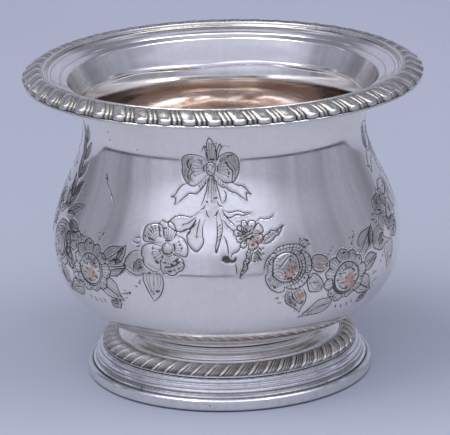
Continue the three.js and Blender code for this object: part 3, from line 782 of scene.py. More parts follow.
def engrave_wild_rose(paper, tone):
    """The five-petalled rose left of the next bow, with the leaves behind and under it."""
    paper.spot(75.5, 64.0)
    middle = (0.3, -0.2)
    paper.swell(*middle, 2.2, 2.2, 0.16)
    paper.shade([middle + polar(2.0, 60 * turn) for turn in range(6)], 0.5)
    paper.ring(middle, 1.9, 0.6)
    paper.ring(middle, 2.4, 0.6, 190, 340)
    for x, y, wide, high in ((-5.6, 4.8, 3.6, 3.2), (-5.2, -3.8, 4.0, 3.8), (2.8, -5.4, 3.8, 3.6),
                             (4.9, 1.0, 2.8, 3.6), (0.2, 6.2, 2.6, 3.0)):
        paper.swell(x, y, wide, high, 0.16)
    paper.cut([(-2.3, 1.4), (-5.4, 1.5), (-8.6, 1.5), (-9.5, 2.8), (-9.4, 4.4), (-9.0, 6.2),
               (-8.0, 7.3), (-6.2, 7.9), (-4.2, 8.2), (-2.6, 7.7), (-1.9, 5.8), (-1.5, 3.4)])
    paper.cut([(-3.9, 8.5), (-2.6, 9.5), (-1.2, 8.9), (0.4, 9.1), (1.9, 8.1), (3.0, 5.9), (2.6, 3.9),
               (1.5, 2.4)])
    paper.cut([(2.9, 4.6), (4.3, 4.4), (5.2, 3.8), (6.1, 3.4), (7.3, 1.6), (7.9, -0.8), (7.4, -2.7),
               (5.9, -2.6), (3.4, -1.4)])
    paper.cut([(2.3, -1.7), (4.3, -2.6), (6.1, -3.7), (6.9, -5.9), (6.1, -7.6), (4.5, -8.4),
               (3.6, -9.4), (1.8, -9.6), (0.6, -8.9), (-0.6, -9.1), (-1.6, -7.7), (-1.8, -5.4),
               (-1.2, -2.9)])
    paper.cut([(-2.2, 0.3), (-5.4, 1.0), (-8.0, 0.4), (-9.4, -0.9), (-9.6, -3.2), (-8.7, -4.4),
               (-8.6, -5.8), (-7.6, -7.2), (-5.5, -8.4), (-3.7, -8.8), (-1.8, -7.7)])
    paper.shade([(-1.6, 2.4), (-5.4, 1.6), (-9.2, 2.4), (-8.8, 6.4), (-4.2, 8.0), (-2.0, 5.8)], tone)
    paper.shade([(-1.4, 2.4), (-2.2, 6.6), (0.6, 7.0), (2.8, 5.6), (1.5, 2.4)], tone)
    paper.shade([(2.0, -1.7), (5.9, -3.7), (6.4, -6.6), (3.6, -9.0), (-1.2, -7.9), (-1.2, -2.9)], tone)
    paper.shade([(-2.0, -0.6), (-4.4, -0.6), (-5.2, -3.4), (-3.6, -6.2), (-1.6, -4.6)], tone)
    for reach in (2.6, 3.6, 4.6, 5.6, 6.5):
        paper.ring((-2.4, 1.4), reach, FINE_WIDTH, 104, 160)
    paper.fan((-2.4, 1.4), 110, 168, 5.0, 6.6, 5)
    paper.fan(middle, 68, 112, 3.0, 6.6, 5)
    paper.fan(middle, -14, 36, 3.0, 5.0, 4)
    paper.fan(middle, -100, -30, 3.0, 5.2, 6)
    paper.fan(middle, -98, -34, 6.8, 8.2, 7)
    paper.fan(middle, 186, 254, 3.0, 5.6, 6, curl=-6)
    paper.wear(-3.9, -4.6, 2.2, 0.8)
    paper.cut([(-9.2, -2.1), (-12.3, -2.3), (-14.7, -3.9), (-16.4, -7.0), (-16.0, -8.9), (-13.0, -10.6),
               (-10.4, -10.8), (-7.6, -9.6)])
    paper.shade([(-9.6, -3.0), (-14.7, -3.9), (-16.4, -7.4), (-13.0, -10.6), (-8.0, -9.6)], 0.5)
    paper.cut([(-12.6, -9.6), (-12.3, -7.0), (-10.4, -5.2), (-8.4, -5.6)])
    paper.shade([(-12.6, -9.6), (-12.2, -7.0), (-10.4, -5.2), (-8.6, -6.0), (-8.0, -9.4)], 0.5)
    paper.fan((-9.0, -9.4), 94, 168, 1.8, 3.4, 5)
    leaf = [(-8.6, -9.6), (-8.5, -12.4), (-7.4, -15.0), (-6.0, -17.8), (-4.8, -20.2)]
    back = [(-1.3, -9.6), (-0.8, -12.0), (-1.1, -15.0), (-2.4, -17.8), (-4.8, -20.2)]
    paper.cut(leaf)
    paper.cut(back)
    paper.shade(leaf + back[-2::-1], ROSE_TONE)
    paper.cut([(-4.6, -9.6), (-4.4, -13.0), (-4.6, -17.0)], 0.5)
    paper.fine([(-7.4, -9.8), (-7.0, -12.6), (-5.8, -15.8)],
               [(-6.2, -9.8), (-6.0, -13.0), (-5.2, -16.4)],
               [(-3.2, -9.6), (-2.8, -12.6), (-3.4, -15.8)],
               [(-2.0, -9.6), (-1.8, -12.4), (-2.6, -15.6)])
    paper.cut([(-13.9, 1.1), (-11.6, 0.5), (-10.4, 1.2)])
    paper.cut([(-12.7, 2.2), (-11.4, 2.6), (-10.4, 2.2)])
    paper.cut([(-12.0, -0.9), (-10.2, -0.4)])
    paper.cut([(-9.5, -12.4), (-10.8, -14.0)], FINE_WIDTH * 1.4)
    paper.dot(-11.6, -15.2, 1.1)
    paper.dot(-9.9, -13.9, 0.8)
    paper.cut([(-17.4, -18.9), (-15.6, -18.6)], FINE_WIDTH * 1.4)
    paper.dot(-14.6, -18.4, 1.1)
    paper.dot(-16.6, -17.6, 0.8)
    # Barbs up to the leaf of the bow
    paper.cut([(4.4, 5.6), (6.0, 6.6), (8.4, 7.4), (9.8, 9.0)], 0.8)
    paper.cut([(6.8, 4.6), (8.2, 6.2)], 0.8)


# Where the big flower sits, and its petals: direction, spread and reach
BIG_FLOWER_ANGLE = 46.9
BIG_FLOWER_HEIGHT = 48.6
BIG_FLOWER_PETALS = (
    (101, 37, 10.6), (69, 27, 10.0), (40, 31, 9.6), (6, 37, 10.4), (-34, 43, 9.2), (-77, 43, 8.4),
    (-114, 31, 9.4), (-144, 28, 9.4), (-172, 30, 10.1), (160, 26, 10.1), (133, 28, 10.5),
)
# Where each festoon's big flower sits, one by one: degrees further round and millimetres higher
BIG_FLOWER_SHIFTS = ((0.0, -0.3), (-0.6, 0.7), (0.5, 1.2), (-1.2, 3.1))
COPPER_SHARES = (1.0, 0.8, 0.9, 0.72)     # how much copper shows on each festoon
WILD_ROSE_TONES = (0.55, 0.3, 0.4, 0.15)  # how dull the petals of its wild rose are


def festoon(quarter):
    """All strokes of one festoon."""
    paper = Engraving()
    paper.copper = COPPER_SHARES[quarter]
    engrave_bow(paper)
    engrave_star(paper)
    engrave_rose(paper)
    engrave_daisy(paper, *BIG_FLOWER_SHIFTS[quarter])
    engrave_wild_rose(paper, WILD_ROSE_TONES[quarter])
    if quarter == FESTOONS - 1:
        engrave_nicks(paper)
        engrave_spray(paper)
        engrave_wide_petals(paper)
    return paper


def engrave_nicks(paper):
    """A long scratch and two nicks beside it."""
    paper.spot(48.7, 79.6)
    paper.cut([(-5.2, 4.9), (-4.2, 3.9), (-3.6, 2.2)], 0.9)
    paper.cut([(-3.6, 2.2), (-1.4, 0.2), (0.8, -2.2), (4.0, -6.0)], 0.55)
    paper.cut([(-5.0, 3.6), (-4.4, 2.9)], 0.7)
    paper.spot(43.6, 98.2)
    paper.dot(0, 1.3, 1.0)
    paper.dot(0.2, -1.7, 0.9)


def engrave_spray(paper):
    """Leaves that climb from the rose of the festoon left of the front one."""
    paper.spot(27.4, 66.0)
    paper.leaf((-2.0, 1.0), (9.0, 6.4), 1.8, 1.6, lines=2)
    paper.leaf((-3.0, 2.4), (1.6, 13.6), 2.2, 1.9, lines=2)
    paper.leaf((-6.0, 2.0), (-7.0, 12.0), 2.0, 2.2, lines=2)
    paper.leaf((2.0, -1.0), (11.0, -3.0), 1.6, 2.0, lines=2)
    for x, y in ((3.2, 10.6), (5.6, 9.8), (4.4, 13.0)):
        paper.dot(x, y, 1.1)
    paper.spot(29, 67.4)
    for x in (-2.6, 2.6):
        paper.dot(x, 0, 1.9)
    for around, height, lean in ((24, 74, 1.0), (23.4, 80.5, 0.8), (22.8, 87, 0.9), (22, 93, 0.7)):
        paper.spot(around, height)
        paper.leaf((0.6, -2.0), (5.6 * lean, 5.6), 1.7, 1.5, lines=2)
        paper.leaf((-0.4, -2.0), (-4.8 * lean, 6.0), 1.4, 1.8, lines=2)
        paper.cut([(0.0, -3.4), (0.3, 0.0), (-0.2, 4.4)], 0.8)


def engrave_wide_petals(paper):
    """A second, wider row of petals behind the big flower of the same festoon."""
    further, higher = BIG_FLOWER_SHIFTS[-1]
    paper.spot(BIG_FLOWER_ANGLE + further, BIG_FLOWER_HEIGHT + higher)
    wide = [(-3.0, 11.2), (-6.4, 10.6), (-9.2, 11.6), (-12.6, 10.2), (-16.2, 9.8), (-18.0, 7.4),
            (-16.6, 5.0), (-17.2, 2.6), (-14.8, 0.8), (-14.6, -1.8), (-12.2, -3.6), (-11.2, -6.2),
            (-8.2, -8.0)]
    paper.cut(wide, 0.8)
    paper.shade([*wide, (-8.6, -5.0), (-10.6, 0.0), (-8.6, 6.0), (-4.0, 9.6)], 0.35)
    paper.cut([(-9.4, 8.2), (-13.2, 7.0), (-13.8, 4.2), (-12.4, 1.6), (-12.0, -1.2), (-9.8, -4.4)],
              0.55)
    paper.comb(wide, (0, 0), 2.6, 17)


def resample(line, step):
    """Points spaced evenly along a line."""
    along = np.append(0, np.cumsum(np.linalg.norm(np.diff(line, axis=0), axis=1)))
    count = max(2, int(round(along[-1] / step)) + 1)
    places = np.linspace(0, along[-1], count)
    return np.stack([np.interp(places, along, line[:, k]) for k in range(2)], 1)


def tree_of(points):
    """A search tree over flat points."""
    tree = KDTree(len(points))
    for i, (x, y) in enumerate(points.tolist()):
        tree.insert((x, y, 0), i)
    tree.balance()
    return tree


def thin_out(points, gap):
    """Leaves out each point that lies closer than a gap to one before it."""
    taken, kept = {}, []
    for x, y in points.tolist():
        cell = (int(x // gap), int(y // gap))
        near = [taken.get((cell[0] + i, cell[1] + j)) for i in (-1, 0, 1) for j in (-1, 0, 1)]
        if all(other is None or (other[0] - x) ** 2 + (other[1] - y) ** 2 > gap**2 for other in near):
            taken[cell] = (x, y)
            kept.append((x, y))
    return np.array(kept)


def inside_of(points, outline):
    """Tells which points lie inside a closed outline."""
    low, high = outline.min(0), outline.max(0)
    near = np.flatnonzero((points > low).all(1) & (points < high).all(1))
    x, y = points[near, 0, None], points[near, 1, None]
    ax, ay = outline.T
    bx, by = np.roll(outline, -1, 0).T
    level = np.where(by == ay, TINY, by - ay)
    crossed = ((ay > y) != (by > y)) & (x < (bx - ax) * (y - ay) / level + ax)
    within = np.zeros(len(points), bool)
    within[near] = crossed.sum(1) % 2 == 1
    return within


class CutWall:
    """One quarter of the engraved wall, flattened: its points, triangles, depths and marks."""

    def __init__(self, before, paper, after):
        turn = math.radians(FESTOON_ANGLE) * PLAN_RADIUS
        self.left = math.radians(QUARTER_START) * PLAN_RADIUS
        self.right = self.left + turn
        self.bottom = float(bowl_wall.along_at(ORNAMENT_BOTTOM))
        self.top = float(bowl_wall.along_at(ORNAMENT_TOP))

        def side_by_side(kind):
            """All marks of one kind on this quarter's paper and the two beside it."""
            return [(where + [shift, 0], *rest)
                    for shift, source in ((-turn, before), (0, paper), (turn, after))
                    for where, *rest in getattr(source, kind)]

        self.strokes = [stroke for stroke in side_by_side("strokes")
                        if stroke[0][:, 0].max() > self.left - OVERLAP
                        and stroke[0][:, 0].min() < self.right + OVERLAP]
        self.worn, self.swells, self.shaded = map(side_by_side, ("worn", "swells", "shaded"))
        samples = np.vstack([line for line, *rest in self.strokes])
        self.half, self.deep, self.ink = (np.concatenate([stroke[k] for stroke in self.strokes])
                                          for k in (1, 2, 3))
        self.half = self.half / 2
        self.tree = tree_of(samples)
        self.place_points()
        self.measure()

    def place_points(self):
        """Puts points on the strokes, at their edges, between them and round the border."""
        middles, edges = [], []
        for line, width, depth, ink in self.strokes:
            even = resample(line, POINT_STEP)
            middles.append(even)
            between = np.linspace(0, 1, 2 * len(even) - 1)[1::2]
            wide = np.interp(between, np.linspace(0, 1, len(width)), width)
            halfway = (even[1:] + even[:-1]) / 2
            step = np.diff(even, axis=0)
            step = step / np.maximum(np.linalg.norm(step, axis=1), TINY)[:, None]
            side = np.stack([-step[:, 1], step[:, 0]], 1) * wide[:, None] / 2
            edges += [halfway + side, halfway - side]
            edges.append(even[[0, -1]] + step[[0, -1]] * [[-1], [1]] * width[[0, -1]][:, None] / 2)
        strokes = thin_out(np.vstack(middles + edges), POINT_GAP)
        tree = tree_of(strokes)
        far = self.grid(PLAIN_STEP)
        far = far[[tree.find((x, y, 0))[2] > NEAR_REACH for x, y in far.tolist()]]
        near = self.grid(NEAR_STEP)
        gap = NEAR_STEP * 0.45
        near = near[[gap < tree.find((x, y, 0))[2] <= NEAR_REACH for x, y in near.tolist()]]
        inner = np.vstack([strokes, near, far])
        margin = EDGE_STEP * 0.4
        inside = (inner[:, 0] > self.left + margin) & (inner[:, 0] < self.right - margin)
        inside &= (inner[:, 1] > self.bottom + margin) & (inner[:, 1] < self.top - margin)
        inner = inner[inside]
        count = int(round((self.top - self.bottom) / EDGE_STEP))
        seam = np.linspace(self.bottom, self.top, count + 1)
        columns = np.linspace(self.left, self.right, ROUND_STEPS // FESTOONS + 1)
        left = [(self.left, y) for y in seam]
        right = [(self.right, y) for y in seam]
        bottom = [(x, self.bottom) for x in columns[1:-1]]
        top = [(x, self.top) for x in columns[1:-1]]
        self.points = np.array(left + right + bottom + top + inner.tolist())
        number = np.arange(len(self.points))
        cuts = np.cumsum([0, len(left), len(right), len(bottom), len(top)])
        self.left_side, self.right_side, low, high = (number[a:b] for a, b in zip(cuts, cuts[1:]))
        self.low_row = np.concatenate([self.left_side[:1], low])
        self.high_row = np.concatenate([self.left_side[-1:], high])
        sheet = [Vector(place) for place in self.points.tolist()]
        _, _, faces, sources, _, _ = delaunay_2d_cdt(sheet, [], [], 0, TINY, True)
        source = np.array([entry[0] for entry in sources])
        self.triangles = source[np.array([face for face in faces if len(face) == 3])]

    def grid(self, step):
        """Staggered rows of points over the whole quarter."""
        rows = np.arange(self.bottom + step / 2, self.top, step * ROW_SHARE)
        return np.array([(x + (i % 2) * step / 2, y) for i, y in enumerate(rows)
                         for x in np.arange(self.left + step / 2, self.right, step)])

    def measure(self):
        """How deep the cut is at each point, how close the engraving is, and how worn it is."""
        count = len(self.points)
        self.depth, self.cut, self.grime, beside = (np.zeros(count) for _ in range(4))
        for i, (x, y) in enumerate(self.points.tolist()):
            for _, j, distance in self.tree.find_range((x, y, 0), GRIME_REACH):
                share = 1 - distance / self.half[j]
                if share > FAINTEST_CUT:
                    self.depth[i] = max(self.depth[i], share * self.deep[j])
                    self.cut[i] = max(self.cut[i], min(1, share * DARK_SHARE) * self.ink[j])
                beside[i] = max(beside[i], 1 - distance / BESIDE_WIDTH)
                self.grime[i] += (1 - distance / GRIME_REACH) * self.ink[j]
        self.grime = 1 - np.exp(-self.grime / GRIME_SPREAD)
        for outline, strength in self.shaded:
            within = inside_of(self.points, outline)
            self.grime[within] = 1 - (1 - self.grime[within]) * (1 - strength)
        self.depth += BESIDE_DEPTH * beside**2
        for place, wide, high, height in self.swells:
            away = (((self.points - place) / [wide, high]) ** 2).sum(1)
            self.depth -= height * np.maximum(0, 1 - away) ** SWELL_POWER
        self.wear = np.zeros(count)
        for place, radius, strength in self.worn:
            distance = np.linalg.norm(self.points - place, axis=1)
            self.wear = np.maximum(self.wear, strength * np.clip(WEAR_START - distance / radius, 0, 1))


def add_engraved_wall(skin, walls):
    """Adds the four quarters of the engraved wall. Returns their lowest and highest rings."""
    quarters = []
    for quarter, wall in enumerate(walls):
        section, lean = bowl_wall.point(wall.points[:, 1]), bowl_wall.normal(wall.points[:, 1])
        angle = wall.points[:, 0] / PLAN_RADIUS + math.radians(BOW_ANGLE + quarter * FESTOON_ANGLE)
        across = np.stack([np.sin(angle), -np.cos(angle)], 1)
        plain = np.concatenate([across * section[:, :1], section[:, 1:]], 1)
        normal = np.concatenate([across * lean[:, :1], lean[:, 1:]], 1)
        sunk = plain - normal * wall.depth[:, None]
        change = mesh_normals(sunk, wall.triangles) - mesh_normals(plain, wall.triangles)
        own = np.ones(len(angle), bool)
        own[wall.right_side] = False
        numbers = np.full(len(angle), -1)
        numbers[own] = skin.add(sunk[own], (normal + change)[own],
                                cut=wall.cut[own], grime=wall.grime[own], wear=wall.wear[own])
        quarters.append(numbers)
    low, high = [], []
    for quarter, (wall, numbers) in enumerate(zip(walls, quarters)):
        following = (quarter + 1) % FESTOONS
        numbers[wall.right_side] = quarters[following][walls[following].left_side]
        skin.faces.extend(numbers[wall.triangles].tolist())
        low.append(numbers[wall.low_row])
        high.append(numbers[wall.high_row])
    return np.concatenate(low), np.concatenate(high)


def wall_stretch(start, end, steps):
    """Points and normals of the wall between two lengths along it."""
    along = np.linspace(start, end, steps + 1)
    return bowl_wall.point(along), bowl_wall.normal(along)


RIPPLE_HEIGHT = 102           # the ripple that spinning left in the inside of the neck
RIPPLE_DEPTH = 0.21
RIPPLE_WIDTH = 0.7
RIPPLE_REACH = 2.7
RIPPLE_STEP = 0.3             # between the rings that draw it
INSIDE_STEPS = 35             # rings of the plain inside
UNDERSIDE_STEPS = 9           # rings between the joint and the engraving
NECK_STEPS = 4                # and between the engraving and the brim
BOTTOM_STEPS = 8
THROAT_REACH = 1.6            # how far under the throat the section of the brim starts


def add_inner_wall(skin, top):
    """Rings of the inside of the wall, from the throat down to the joint, with the ripple in them."""
    crest = bowl_wall.along_at(RIPPLE_HEIGHT)
    plain = np.linspace(top, 0, INSIDE_STEPS + 1)[1:]
    rippled = np.arange(crest - RIPPLE_REACH, crest + RIPPLE_REACH, RIPPLE_STEP)
    along = np.unique(np.concatenate([plain, rippled]))[::-1]
    angles = ring_angles(WALL_START)
    wander = 0.5 * np.sin(3 * angles + 1) + 0.3 * np.sin(7 * angles)
    strength = 1 + 0.35 * np.sin(5 * angles + 2) + 0.2 * np.sin(13 * angles)
    share = (along[:, None] - crest - wander[None]) / RIPPLE_WIDTH
    height = RIPPLE_DEPTH * strength * np.exp(-(share**2))
    slope = -2 * share / RIPPLE_WIDTH * height
    inwards = -bowl_wall.normal(along)
    upwards = np.stack([inwards[:, 1], -inwards[:, 0]], 1)
    line = bowl_wall.point(along) + inwards * BODY_SHEET
    facing = turned(inwards, angles)
    points = turned(line, angles) + facing * height[..., None]
    numbers = skin.add(points, facing - turned(upwards, angles) * slope[..., None], inside=1)
    return list(numbers.reshape(len(along), ROUND_STEPS))


def bottom_line():
    """Outside of the bowl's bottom, from the axis to the joint."""
    middle = np.array([0, bowl_wall.joint[1] - BOTTOM_SAG])
    start = middle + [JOINT_RADIUS * BOTTOM_MIDDLE_SHARE, 0]
    end = bowl_wall.joint - heading(UNDERBELLY_SLOPE) * JOINT_RADIUS * BOTTOM_EDGE_SHARE
    return bezier(middle, start, end, bowl_wall.joint, BOTTOM_STEPS)


# The brim from its edge inwards: radius, drop from its top, rounding, and dirt with painted shade in
# its corners.
# A step, a small bead and a sloping band.
BRIM_OUTLINE = [
    (64.0, 0, 0.15), (63.85, 0.16, 0.05, 0.9), (63.5, 0.02, 0.15), (62.75, 0.42, 0.25),
    (62.5, 0.58, 0.05, 0.7), (62.15, 0.45, 0.2), (61.5, 0.78, 0.8), (60.4, 1.22, 0.8),
    (59.3, 1.72, 0.2), (59.0, 2.05, 0.05, 0.6),
]


def brim_line(start, end):
    """The brim from the outside of the neck, under it, round its edge and over it, to the inside."""
    under = BRIM_TOP - BODY_SHEET
    corners = [(*start, 0), (*bowl_wall.throat, 1.2), (62.1, under - 0.74, 0.6), (63.2, under, 0.5),
               (BRIM_EDGE, under, 0.2), (BRIM_EDGE, BRIM_TOP, 0.2)]
    corners += [(radius, BRIM_TOP - drop, *rest) for radius, drop, *rest in BRIM_OUTLINE]
    over_throat = bowl_wall.throat + [-0.55, BODY_SHEET]
    corners += [(*over_throat, 1.3), (*end, 0)]
    return rounded_line(corners)


def make_bowl(material):
    """The bowl body: bottom, engraved wall, brim and inside."""
    skin = Skin(("cut", "grime", "wear", "inside"))
    papers = [festoon(quarter) for quarter in range(FESTOONS)]
    walls = [CutWall(papers[k - 1], papers[k], papers[(k + 1) % FESTOONS]) for k in range(FESTOONS)]

    def add(line, normals, **marks):
        """Adds rings whose columns stand over those of the engraved wall."""
        return skin.add_rings(line, normals, WALL_START, **marks)

    # Bottom, and the wall up to the engraving
    bottom = bottom_line()
    below = outward(bottom)
    pole = skin.add([(0, 0, bottom[0][1])], [(0, 0, -1)])
    rings = add(bottom[1:], below[1:])
    skin.cap(rings[0], pole, upwards=False)
    line, normals = wall_stretch(0, walls[0].bottom, UNDERSIDE_STEPS)
    rings += add(line[1:-1], normals[1:-1])
    low, high = add_engraved_wall(skin, walls)
    skin.bridge(rings + [low])
    # Neck and brim
    neck_end = bowl_wall.along[-1] - THROAT_REACH
    line, normals = wall_stretch(walls[0].top, neck_end, NECK_STEPS)
    rings = [high] + add(line[1:], normals[1:])
    start = bowl_wall.point(neck_end)
    line, normals, shade_and_dirt = brim_line(start, start - bowl_wall.normal(neck_end) * BODY_SHEET)
    # The brim's corners go into the cut mark as dirt with painted shade, darkened like the engraving.
    rings += add(line[1:], normals[1:], cut=shade_and_dirt[1:])
    # Inside
    rings += add_inner_wall(skin, neck_end)
    floor = (bottom - below * BODY_SHEET)[::-1]
    rings += add(floor[1:-1], -below[::-1][1:-1], inside=1)
    skin.bridge(rings)
    pole = skin.add([(0, 0, floor[-1][1])], [(0, 0, 1)], inside=1)
    skin.cap(rings[-1], pole, upwards=True)
    return skin.make("engraved_bowl", material, "silver_plate", "bowl_body")


DOME_POWER = 0.55             # how full the ridges of the borders are
RIM_LOBES = 52
RIM_LOBE_DEPTH = 1.3
RIM_LEAN = 0.32               # how far a lobe leans over its length, as a share of its width
RIM_BORDER_WIDTH = 8.6
RIM_DARK_STRETCH = (128, 60, 0.15)    # direction and width, in degrees, of its darkest stretch, and how much darker
FOOT_LOBES = 56
FOOT_LOBE_DEPTH = 1.0
FOOT_LEAN = -1.0
FOOT_BULGE = 2.15             # how far the border of the foot stands out
FOOT_DARK_STRETCH = (60, 70, 0.0)
PATINA_SHARE = 2.8            # how soon the patina is full where the lobes get deeper
CHANCE_PATINA = 0.1           # how much more of it one lobe has than another
LOBE_END = 0.3                # share of a lobe's length over which its end is rounded


def lobed_ring(name, line, depth, lean, ends, ridges, lobes, core, dull, darkened, material, node):
    """A ring cut into leaning lobes. Each ridge of a lobe is (start, end, height, steps).

    The lobes are cut from the line towards the core. Depth, lean and ends are given along the line:
    ends goes from 1 at the tip of a lobe to 0 where the lobe is full. Dull is the patina on top of
    the lobes along the line, and how dark their hollows are. The argument after it gives the middle of
    the darkest stretch of lobes, its width and how much darker it is."""
    places, shares, heights = [], [], []
    for start, end, height, steps in ridges:
        x = -np.cos(np.linspace(0, math.pi, steps, endpoint=False))
        places.append(start + (x + 1) / 2 * (end - start))
        shares.append(x)
        heights.append(np.full(steps, height))
    places, shares, heights = (np.tile(np.concatenate(part), lobes)
                               for part in (places, shares, heights))
    columns = (np.repeat(np.arange(lobes), len(places) // lobes) + places) * 2 * math.pi / lobes
    rounded = np.maximum(0, 1 - shares[:, None] ** 2 - ends[None] ** 2) ** DOME_POWER
    hollow = 1 - heights[:, None] * rounded
    inward = core - line
    inward = inward / np.linalg.norm(inward, axis=1)[:, None]
    cut = line[None] + inward[None] * (hollow * depth[None])[..., None]
    angle = columns[:, None] + lean[None] * 2 * math.pi / lobes
    points = np.stack([cut[..., 0] * np.sin(angle), -cut[..., 0] * np.cos(angle), cut[..., 1]], -1)
    rows, around = len(line), len(columns)
    number = np.arange(rows * around).reshape(around, rows)
    beside, above = np.roll(number, -1, 0), np.roll(number, -1, 1)
    faces = np.stack([number, beside, np.roll(beside, -1, 1), above], -1).reshape(-1, 4)
    triangles = np.concatenate([faces[:, :3], faces[:, [0, 2, 3]]])
    flat = points.reshape(-1, 3)
    skin = Skin(("hollow",))
    hand = random.Random(lobes)
    # The stretch given here is made darker over its width, round its middle.
    middle, width, most = darkened
    away = np.abs((columns - math.radians(middle) + math.pi) % (2 * math.pi) - math.pi)
    extra = most * np.clip(1 - away / math.radians(width), 0, 1) ** 0.5
    extra += np.repeat([hand.uniform(0, CHANCE_PATINA) for _ in range(lobes)], len(columns) // lobes)
    share = np.minimum(1, PATINA_SHARE * depth / depth.max())[None]
    on_top, in_hollows = dull
    deep = np.maximum(hollow * share * in_hollows, on_top[None]) + extra[:, None] * share
    deep = np.clip(deep, 0, 1)
    skin.add(flat, mesh_normals(flat, triangles), hollow=deep.ravel())
    skin.faces = faces.tolist()
    return skin.make(name, material, "plated_white_metal", node)


def make_rim_border(material):
    """The cast border of the rim: leaning lobes, each with two thin ridges beside it, and a wire."""
    inner = bowl_wall.throat[0] + BRIM_WIDTH
    outer = inner + RIM_BORDER_WIDTH
    seat = BRIM_TOP + SOLDER_GAP
    hook = BRIM_EDGE + SOLDER_GAP
    corners = [(hook, seat), (hook, RIM_BOTTOM + 1.1), (hook + 2.6, RIM_BOTTOM),
               (outer - 1.2, RIM_BOTTOM), (outer - 0.7, RIM_BOTTOM + 0.25),
               (outer - 0.6, RIM_BOTTOM + 1.2)]
    edge = np.array([outer, RIM_BOTTOM])
    brow, crest = edge + [-0.75, 3.4], edge + [-5.4, 5.76]
    bend = bezier(edge + [-0.5, 1.32], edge + [0.45, 1.5], edge + [0.15, 2.9], brow, 13)
    roof = bezier(brow, edge + [-2.2, 4.1], edge + [-4.0, 5.7], crest, 8)
    slope = bezier(crest, edge + [-6.2, 5.75], edge + [-6.9, 5.4], edge + [-7.35, 4.95], 5)
    lobed = np.vstack([bend, roof[1:], slope[1:]])
    wire = [edge + [-7.95, 4.92] + heading(degrees) * 0.48 for degrees in range(0, 181, 30)]
    back = [(inner, seat + 0.45), (inner, seat - SOLDER_GAP * 0.8)]
    line = np.vstack([corners, lobed, wire, back])
    before, after = len(corners), len(wire) + len(back)
    share = np.linspace(0, 1, len(lobed))
    # The lobes fade over the roof and end before the slope does, and straighten on the way
    fade = rise(1 - share, 0, 0.1) ** 0.8 * (1 - 0.7 * rise(share, 0.4, 0.2))
    depth = np.concatenate([np.zeros(before), RIM_LOBE_DEPTH * fade, np.zeros(after)])
    straight = ease(rise(share, 0.45, 0.5))
    lean = RIM_LEAN * np.concatenate([np.ones(before), 1 - straight, np.zeros(after)])
    lean[:2] = 0
    ends = np.concatenate([np.ones(before), 1 - rise(share, 0, LOBE_END), np.zeros(after)])
    core = np.array([outer - 4.6, RIM_BOTTOM + 0.4])
    ridges = [(0, 0.61, 1, 14), (0.61, 0.83, 0.7, 6), (0.83, 1, 0.55, 4)]
    tops = 0.32 * rise(share, 0.45, 0.2)
    dull = (np.concatenate([np.zeros(before), tops, np.zeros(after)]), 0.95)
    return lobed_ring("rim_gadroon", line, depth, lean, ends, ridges, RIM_LOBES, core, dull,
                      RIM_DARK_STRETCH, material, "rim_border")


def foot_place(across, down):
    """A place on the foot, as shares of the way out and down from its collar to the base."""
    wall = BASE_RADIUS - BASE_WIRE_WIDTH - SOLDER_GAP
    return np.array([JOINT_RADIUS + (wall - JOINT_RADIUS) * across, COLLAR_TOP * (1 - down)])


def make_foot_border(material):
    """The cast border of the foot: smaller lobes that lean the other way."""
    top, end = foot_place(0.381, 0.218), foot_place(0.735, 0.418)
    way = (end - top) / np.linalg.norm(end - top)
    out = np.array([-way[1], way[0]])
    seat = out * SOLDER_GAP
    lobed = bezier(end + seat + out * 0.3, end + seat + out * FOOT_BULGE * 1.15 - way * 0.1,
                   top + seat + out * FOOT_BULGE * 1.2 + way * 0.9, top + seat + out * 0.3, 22)
    line = np.vstack([[top + seat], [end + seat], lobed])
    share = np.linspace(0, 1, len(lobed))
    cut = rise(share, 0, 0.1) ** 0.6 * rise(1 - share, 0, 0.16)
    depth = np.concatenate([[0, 0], FOOT_LOBE_DEPTH * cut])
    lean = FOOT_LEAN * np.concatenate([[0, 1], 1 - share])
    ends = np.concatenate([[1, 1], 1 - rise(share, 0, LOBE_END)])
    core = (top + end) / 2
    ridges = [(0, 0.42, 1, 10), (0.42, 0.64, 0.8, 5), (0.64, 0.83, 0.7, 4), (0.83, 1, 0.58, 4)]
    dull = (np.concatenate([[0.6, 0.6], np.full(len(share), 0.03)]), 0.85)
    return lobed_ring("foot_gadroon", line, depth, lean, ends, ridges, FOOT_LOBES, core, dull,
                      FOOT_DARK_STRETCH, material, "foot_border")


def make_turned(name, corners, material, slot, *nodes):
    """A piece turned from a closed section whose corners are (radius, height, rounding, dirt and
    painted shade).
    """
    line, normals, shade_and_dirt = rounded_line([corners[-1], *corners, corners[0]])
    skin = Skin(("grime",))
    rings = skin.add_rings(line[1:-1], normals[1:-1], grime=shade_and_dirt[1:-1])
    skin.bridge(rings + rings[:1])
    return skin.make(name, material, slot, *nodes)


FOOT_SHEET = 0.9
# Outside of the foot from its collar down: shares of the way out and down, rounding, and dirt with
# painted shade in its corners
FOOT_OUTLINE = [
    (0.045, 0.06, 0.6, 0.5), (0.075, 0.085, 0.3), (0.2, 0.135, 3), (0.30, 0.165, 1),
    (0.335, 0.178, 0.2), (0.355, 0.205, 0.15, 1), (0.368, 0.184, 0.15), (0.382, 0.196, 0.15),
    (0.385, 0.218, 0.1, 0.8), (0.735, 0.418, 0.1, 0.8), (0.765, 0.418, 0.15), (0.79, 0.428, 0.12, 0.5),
    (0.82, 0.430, 0.25), (0.838, 0.470, 0.3), (0.826, 0.505, 0.12, 0.8),
    (0.86, 0.520, 0.15), (0.89, 0.540, 0.2), (0.902, 0.575, 0.2), (0.888, 0.605, 0.1, 0.9),
    (0.915, 0.620, 0.15), (0.928, 0.645, 0.15), (0.915, 0.665, 0.1, 0.8), (0.93, 0.705, 0.3, 0.5),
    (0.975, 0.712, 0.12), (1, 0.725, 0.2),
]
